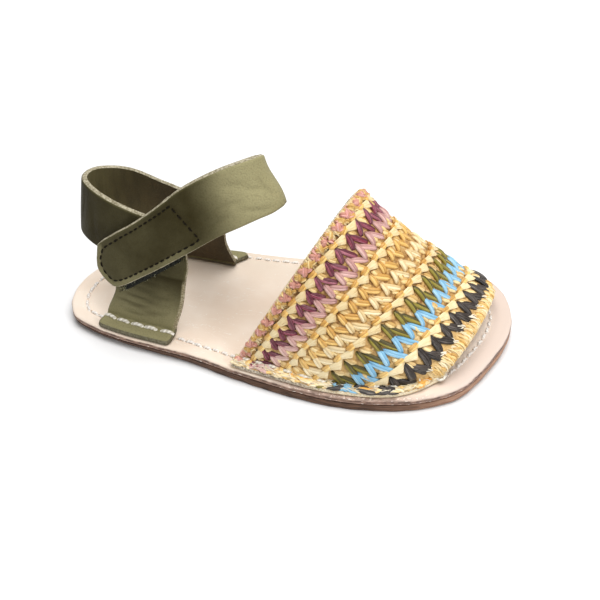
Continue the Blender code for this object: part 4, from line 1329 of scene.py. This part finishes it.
def build_straps():
    numbers = np.arange(STRAP_COLUMNS * STRAP_ROWS).reshape(STRAP_COLUMNS, STRAP_ROWS)
    points = [strap_grid.reshape(-1, 3)]
    sweeps = [np.repeat(strap_sweeps, STRAP_ROWS)]
    faces = sheet_faces(numbers[::-1])
    count = numbers.size
    seams = []
    tones = [np.interp(sweeps[0], *zip(*LEATHER_LIGHT_TONES))]
    tab_tones = np.concatenate((np.linspace(*TAB_WALL_LIGHT_TONES, TAB_WALL_ROWS),
                                np.full(TAB_BEND_ROWS + TAB_FLANGE_ROWS, TAB_FLANGE_LIGHT_TONE)))
    for tab in TABS:
        columns = np.flatnonzero((strap_sweeps >= tab.first - SWEEP_MARGIN) & (strap_sweeps <= tab.last))
        places, tab_sweeps = lay_tab(tab, columns)
        tab_numbers = count + np.arange(tab_sweeps.size).reshape(tab_sweeps.shape)
        faces += sheet_faces(np.column_stack((numbers[columns, 0], tab_numbers)))
        points.append(places.reshape(-1, 3))
        sweeps.append(tab_sweeps.ravel())
        tones.append(np.tile(tab_tones, len(columns)))
        seams.append(places[:, TAB_WALL_ROWS + TAB_BEND_ROWS] + (0.0, 0.0, STRAP_THICKNESS / 2.0))
        count += tab_sweeps.size
    points, sweeps = np.vstack(points), np.concatenate(sweeps)
    from_edge = edge_distances(points, faces)
    # Painted highlight on the rim outside the seam.
    tones[0] = tones[0] + RIM_HIGHLIGHT_TONE * rim_shares().ravel()
    flange_cut_shade = np.where(np.isnan(sweeps), 1.0, 0.0)
    flesh = np.interp(np.nan_to_num(sweeps), *zip(*FLESH_SHADE_TONES))
    pressed = crease_depths(sweeps, points[:, 2])
    crease_shade = np.clip(pressed / CREASE_FULL, 0.0, 1.0)
    crease_shade[:numbers.size] *= CREASE_SHADE_ON_STRAP
    pressed[:numbers.size] += groove_depths()
    points = points - vertex_normals(points, faces) * pressed[:, None]
    solid, all_faces, rim_points = thick_sheet(points, faces, STRAP_THICKNESS, CUT_BULGE, CUT_BEVEL)
    outer = solid[:len(points)]
    dropped = EDGE_DROP * np.clip(1.0 - from_edge / EDGE_ROUND, 0.0, 1.0) ** 2
    outer -= vertex_normals(points, faces) * dropped[:, None]
    worn = np.full(len(all_faces), 2)
    worn[:2 * len(faces)] = np.repeat((0, 1), len(faces))
    tones = np.concatenate(tones)
    values = {"edge": from_edge, "tone": tones, "crease": crease_shade, "flange_cut_shade": flange_cut_shade, "flesh": flesh}
    values = {key: np.concatenate((column, column, column[rim_points])) for key, column in values.items()}
    finishes = [leather_finish(), flesh_finish(), cut_finish()]
    add_piece("olive_straps", solid, all_faces, finishes, "olive_leather", ["straps"], values, worn)
    return outer[:numbers.size].reshape(STRAP_COLUMNS, STRAP_ROWS, 3), seams


strap_face, tab_seams = build_straps()


# Fastening tapes
# Hook-and-loop tape: the napped half is glued on the near tab, the hooked half under the strap's end.
# A sliver of both shows along the strap's lower edge.
TAPE_THICKNESS = 0.0009
TAPE_BULGE = 0.0001
LOOP_PEEPS_OUT = 0.0012
HOOK_PEEPS_OUT = 0.0026
TAPE_SET_BACK = 0.0030
LOOP_SET_BACK = 0.0020
TAPE_SWEEPS = (352.0, 379.0)
FULL_TURN = 360.0
TAPE_COLUMNS = 60
TAPE_ROWS = 14


def tape_finish(name, dark, light):
    finish = Finish(name, Roughness=0.95)
    nap = finish.noise(2400.0, 4.0, 0.7)
    return finish.dress(finish.mix(nap.ease(0.40, 0.72), dark, light), nap, 1.0, 0.0005)


def add_tape(name, lift, peeps_out, limit, finish, slot, node):
    """A strip of tape under the strap's end, from just below its lower edge up to a limit."""
    lower, upper, _ = columns_at(STRAP_RUN, tape_sweeps)
    low = lower - peeps_out
    high = np.minimum(upper - TAPE_SET_BACK, limit)
    heights = low[:, None] + (high - low)[:, None] * np.linspace(0.0, 1.0, TAPE_ROWS)
    grid = ankle_point(tape_sweeps[:, None], heights, lift)
    numbers = np.arange(TAPE_COLUMNS * TAPE_ROWS).reshape(TAPE_COLUMNS, TAPE_ROWS)
    solid, faces, _ = thick_sheet(grid.reshape(-1, 3), sheet_faces(numbers), TAPE_THICKNESS, TAPE_BULGE)
    add_piece(name, solid, faces, [finish], slot, [node])


tape_sweeps = np.linspace(*TAPE_SWEEPS, TAPE_COLUMNS)
band_limit = smooth(STRAP_RUN, "upper", tape_sweeps - FULL_TURN) - LOOP_SET_BACK
loop_lift = STRAP_THICKNESS / 2.0 + FIT_GAP + TAPE_THICKNESS / 2.0
hook_lift = loop_lift + TAPE_THICKNESS + FIT_GAP
loop_nap = tape_finish("loop_nap", (20, 22, 14), (58, 58, 40))
hook_nap = tape_finish("hook_nap", (14, 16, 11), (46, 46, 34))
add_tape("loop_strip", loop_lift, LOOP_PEEPS_OUT, band_limit, loop_nap, "loop_fabric", "loop_tape")
add_tape("hook_strip", hook_lift, HOOK_PEEPS_OUT, math.inf, hook_nap, "hook_fabric", "hook_tape")


# Tape hairs
# Short dark hairs that stray from the tapes below the strap's edge,
# with small pale hooks among them.
HAIRS = 620
HAIR_RINGS = 5
HAIR_LENGTH = (0.0003, 0.0008)
HAIR_RADIUS = (0.00006, 0.00011)
HAIR_SWEEPS = (350.0, 383.0)
HAIR_LIFTS = (-0.0008, 0.0006)
HAIR_AWAY, HAIR_SPREAD, HAIR_DROOP = 0.8, 0.55, 0.8
HAIR_CURL, HAIR_CURL_SHARE, HAIR_TAPER = 0.5, 0.6, 0.6
HAIR_SIDES = 4
PALE_HAIR_EVERY = 7
HairKind = namedtuple("HairKind", "name pale dark light")
HAIR_KINDS = (
    HairKind("dark_hairs", False, (16, 18, 10), (44, 46, 30)),
    HairKind("pale_hooks", True, (120, 122, 96), (196, 198, 172)),
)
THREAD_TURNS = 20.0


def thread_finish(name, dark, light):
    """Thread twisted from fibres, with painted shade between its turns."""
    finish = Finish(name, Roughness=0.8, Specular_IOR_Level=0.12)
    fibre = finish.value("fibre", 1)
    round_it, over_it, along = (finish.axis(number, fibre) for number in range(3))
    turn = along * THREAD_TURNS
    sine, cosine = (finish.node("Math", {"operation": wave}, {0: turn}) for wave in ("SINE", "COSINE"))
    twist = round_it * sine + over_it * cosine
    wear = finish.noise(1400.0)
    # Painted shade between the turns, with random wear.
    shade = twist.ease(-0.9, 0.6) * 0.6 + wear.ease(0.3, 0.7) * 0.4
    return finish.dress(finish.mix(shade, dark, light), twist, 0.6, 0.0002)


def add_hairs():
    sweeps = chance.uniform(*HAIR_SWEEPS, HAIRS)
    lower = np.interp(sweeps, strap_sweeps, strap_lower)
    heights = lower - chance.uniform(0.0, HOOK_PEEPS_OUT, HAIRS)
    roots = ankle_point(sweeps, heights, hook_lift + chance.uniform(*HAIR_LIFTS, HAIRS))
    turn = np.radians(sweeps)
    away = np.column_stack((-np.sin(turn), -np.cos(turn), np.zeros(HAIRS)))
    ways = away * chance.uniform(0.0, HAIR_AWAY, (HAIRS, 1)) + chance.normal(0.0, HAIR_SPREAD, (HAIRS, 3))
    ways = unit(ways - (0.0, 0.0, HAIR_DROOP))
    curls = chance.normal(0.0, HAIR_CURL, (HAIRS, 3))
    steps = np.linspace(0.0, 1.0, HAIR_RINGS)[None, :, None]
    length = chance.uniform(*HAIR_LENGTH, (HAIRS, 1, 1))
    paths = roots[:, None] + (ways[:, None] * steps + curls[:, None] * steps ** 2 * HAIR_CURL_SHARE) * length
    radii = chance.uniform(*HAIR_RADIUS, (HAIRS, 1)) * (1.0 - HAIR_TAPER * steps[:, :, 0])
    outs = np.broadcast_to(away[:, None], paths.shape)
    pale = np.arange(HAIRS) % PALE_HAIR_EVERY == 0
    for kind in HAIR_KINDS:
        mine = pale == kind.pale
        parts = [column[mine] for column in (paths, outs, radii, radii)]
        finish = thread_finish(kind.name, kind.dark, kind.light)
        add_strands(kind.name, parts, finish, "hook_fabric", HAIR_SIDES)


add_hairs()


# Strap seam
# Dark thread sewn by machine round the strap's end and across it, sunk into the leather.
# It holds the fastening tape beneath; the stitches are short, with small gaps between.
SEAM_STITCH_STEPS = 8
SEAM_PITCH_STEPS = 10
SEAM_THREAD = 0.00028
SEAM_RISE = 0.00012
STITCH_DIVE = 0.0006
THREAD_SLACK = 0.06
THREAD_FLATNESS = 0.85


def sew(starts, ends, ways, rise):
    """Paths of stitches that come out of the face, lie on it and go in again."""
    steps, arch = (column[None, :, None] for column in (STRAND_STEPS, STRAND_ARCH ** 0.5))
    rises = ways[:, None] * (rise * arch - STITCH_DIVE * (1.0 - arch))
    return starts[:, None] * (1.0 - steps) + ends[:, None] * steps + rises


def add_stitches(name, paths, ways, radius, finish, slot):
    """One piece of joined stitches."""
    outs = np.broadcast_to(ways[:, None], paths.shape)
    radii = np.full(paths.shape[:2], radius) * (1.0 + chance.normal(0.0, THREAD_SLACK, (len(paths), 1)))
    add_strands(name, (paths, outs, radii, radii * THREAD_FLATNESS), finish, slot)


def sew_strap_end():
    out = unit(np.cross(np.gradient(strap_face, axis=1), np.gradient(strap_face, axis=0)))
    first = np.arange(0, len(strap_seam) - SEAM_STITCH_STEPS, SEAM_PITCH_STEPS)
    spots = [strap_spot(strap_face, *strap_seam[first + step].T) for step in (0, SEAM_STITCH_STEPS)]
    ways = strap_spot(out, *strap_seam[first + SEAM_STITCH_STEPS // 2].T)
    finish = thread_finish("dark_thread", (9, 7, 2), (32, 25, 11))
    paths = sew(*spots, ways, SEAM_RISE)
    add_stitches("strap_end_stitches", paths, ways, SEAM_THREAD, finish, "olive_leather")


sew_strap_end()


# Sole stitches
# Thick waxed white thread, sewn by hand through straps, vamp, footbed and outsole.
# Where nothing lies over it the thread has sunk into the footbed's seam channel.
FOOTBED_PITCH = 0.0031
FOOTBED_STITCH = 0.0027
FOOTBED_THREAD = 0.00050
FOOTBED_RISE = 0.00046
START_SLACK, END_SLACK, ASIDE_SLACK = 0.00015, 0.0002, 0.00012
HOLE_RADIUS = 0.00024
HOLE_DEPTH = 0.0006
HOLE_ABOVE = 0.00027
Cover = namedtuple("Cover", "medial start end")
SEAM_COVERS = [Cover(*row) for row in (
    (False, 0.0140, 0.0388),
    (False, 0.0598, 0.1230),
    (True, 0.0225, 0.0492),
    (True, 0.0706, 0.1300),
)]
TAB_STITCHES = 5
TAB_STITCH_START = 0.1
TAB_STITCH_SHARE = 0.86
TAB_THREAD = 0.00060
TAB_RISE = 0.00028
VAMP_STITCH = 0.0034
VAMP_STITCH_SPAN = (0.03, 0.97)
VAMP_STITCH_PITCH = 0.0046
VAMP_STITCH_INSET = 0.0043
VAMP_THREAD = 0.00050
VAMP_RISE = 0.0017
UP = np.array((0.0, 0.0, 1.0))


def covered(place):
    """Whether a strap's flange or the vamp lies over a place on the seam."""
    along, medial = place[0] - HEEL_X, place[1] > 0.0
    return any(cover.medial == medial and cover.start < along < cover.end for cover in SEAM_COVERS)


def sew_footbed(finish):
    places = outline[:, :2] - outward * seam_inset[:, None]
    heights = footbed_top - max(ring.drop for ring in SEAM_CHANNEL) + toe_lift(places[:, 0])
    seam = np.column_stack((places, heights))
    seam = np.vstack((seam, seam[:1]))
    travel = travel_along(seam)
    firsts = np.arange(0.0, travel[-1] - FOOTBED_PITCH, FOOTBED_PITCH)
    firsts = firsts + chance.normal(0.0, START_SLACK, len(firsts))
    lasts = firsts + FOOTBED_STITCH + chance.normal(0.0, END_SLACK, len(firsts))
    starts, ends = (at_travel(seam, travel, at) for at in (firsts, lasts))
    shown = np.array([not covered(place) for place in (starts + ends) / 2.0])
    starts, ends = starts[shown], ends[shown]
    ways = np.tile(UP, (len(starts), 1))
    slack = chance.normal(0.0, ASIDE_SLACK, (2, len(starts), 1)) * (1.0, 1.0, 0.0)
    paths = sew(starts + slack[0], ends + slack[1], ways, FOOTBED_RISE)
    add_stitches("footbed_stitches", paths, ways, FOOTBED_THREAD, finish, "pale_leather")
    # Discs of darker colour paint the shade in the needle holes at both ends of each stitch.
    holes = np.vstack((starts, ends))
    paths = np.stack((holes - HOLE_DEPTH * UP, holes + HOLE_ABOVE * UP), axis=1)
    outs = np.tile((1.0, 0.0, 0.0), (len(paths), 2, 1))
    radii = np.full((len(paths), 2), HOLE_RADIUS)
    hole_finish = Finish("needle_hole", Base_Color=colour(206, 184, 164), Roughness=0.9)
    add_strands("needle_holes", (paths, outs, radii, radii), hole_finish, "pale_leather")


def sew_tabs(finish):
    ways = np.tile(UP, (TAB_STITCHES, 1))
    for name, seam in zip(("near", "far"), tab_seams):
        travel = travel_along(seam)
        pitch = travel[-1] / TAB_STITCHES
        firsts = (np.arange(TAB_STITCHES) + TAB_STITCH_START) * pitch
        firsts = firsts + chance.normal(0.0, END_SLACK, TAB_STITCHES)
        spots = [at_travel(seam, travel, at) for at in (firsts, firsts + pitch * TAB_STITCH_SHARE)]
        paths = sew(*spots, ways, TAB_RISE)
        add_stitches(name + "_tab_stitches", paths, ways, TAB_THREAD, finish, "olive_leather")


def sew_vamp(finish):
    shares = np.arange(*VAMP_STITCH_SPAN, VAMP_STITCH_PITCH / VAMP_SIDE)
    ends_at = shares + VAMP_STITCH / VAMP_SIDE
    for side, name in enumerate(("near", "far")):
        inward = (1.0, -1.0)[side] * VAMP_STITCH_INSET
        starts, ways = vamp_spot(shares, vamp_edges(shares)[side] + inward)
        ends, _ = vamp_spot(ends_at, vamp_edges(ends_at)[side] + inward)
        paths = sew(starts, ends, ways, VAMP_RISE)
        add_stitches(name + "_vamp_stitches", paths, ways, VAMP_THREAD, finish, "woven_straw")


sew_footbed(thread_finish("sunk_thread", (224, 214, 204), (252, 248, 242)))
waxed_thread = thread_finish("white_thread", (206, 198, 180), (250, 246, 236))
sew_tabs(waxed_thread)
sew_vamp(waxed_thread)


# Stage
# A plain pale floor, soft studio light from the toe's side and above, and the camera at the photo's angle.
CAMERA_AZIMUTH, CAMERA_ELEVATION = 15.0, 42.0
CAMERA_DISTANCE = 0.450
CAMERA_TARGET = (0.00005, 0.00072, 0.0)
IMAGE_PIXELS = 600.0
FOCAL_PIXELS = 1395.0
TARGET_PIXEL = (290.0, 320.0)
SENSOR = 36.0
FLOOR_REACH = 3.0
FLOOR_SHADE = (0.86, 0.86, 0.86, 1.0)
WORLD_STRENGTH = 0.30
Lamp = namedtuple("Lamp", "name place size power")
LAMPS = (
    Lamp("key", (0.10, 0.05, 0.95), 1.00, 12.5),
    Lamp("sheen", (0.60, -0.45, 0.40), 0.25, 1.6),
)


def add_floor():
    mesh = bpy.data.meshes.new("floor")
    corners = [(x * FLOOR_REACH, y * FLOOR_REACH, 0.0) for x, y in ((-1, -1), (1, -1), (1, 1), (-1, 1))]
    mesh.from_pydata(corners, [], [(0, 1, 2, 3)])
    finish = Finish("pale_floor", Base_Color=FLOOR_SHADE, Roughness=0.9)
    mesh.materials.append(finish.material)
    floor = add_object("floor", mesh)


def add_light(name, place, size, power):
    lamp = bpy.data.lights.new(name, "AREA")
    lamp.shape = "DISK"
    lamp.size = size
    lamp.energy = power
    light = add_object(name, lamp)
    light.location = place
    light.rotation_euler = (-Vector(place)).to_track_quat("-Z", "Y").to_euler()


def add_camera():
    azimuth, elevation = math.radians(CAMERA_AZIMUTH), math.radians(CAMERA_ELEVATION)
    level = math.cos(elevation)
    back = Vector((math.sin(azimuth) * level, -math.cos(azimuth) * level, math.sin(elevation)))
    lens = bpy.data.cameras.new("camera")
    lens.sensor_width = SENSOR
    lens.lens = FOCAL_PIXELS / IMAGE_PIXELS * SENSOR
    lens.shift_x = 0.5 - TARGET_PIXEL[0] / IMAGE_PIXELS
    lens.shift_y = TARGET_PIXEL[1] / IMAGE_PIXELS - 0.5
    lens.clip_start = 0.01
    camera = add_object("camera", lens)
    camera.location = Vector(CAMERA_TARGET) + back * CAMERA_DISTANCE
    camera.rotation_euler = (-back).to_track_quat("-Z", "Y").to_euler()
    bpy.context.scene.camera = camera


world = bpy.data.worlds.new("studio")
world.use_nodes = True
background = world.node_tree.nodes["Background"]
background.inputs["Color"].default_value = (1.0, 1.0, 1.0, 1.0)
background.inputs["Strength"].default_value = WORLD_STRENGTH
bpy.context.scene.world = world
bpy.context.scene.view_settings.view_transform = "Standard"
add_floor()
for lamp in LAMPS:
    add_light(*lamp)
add_camera()
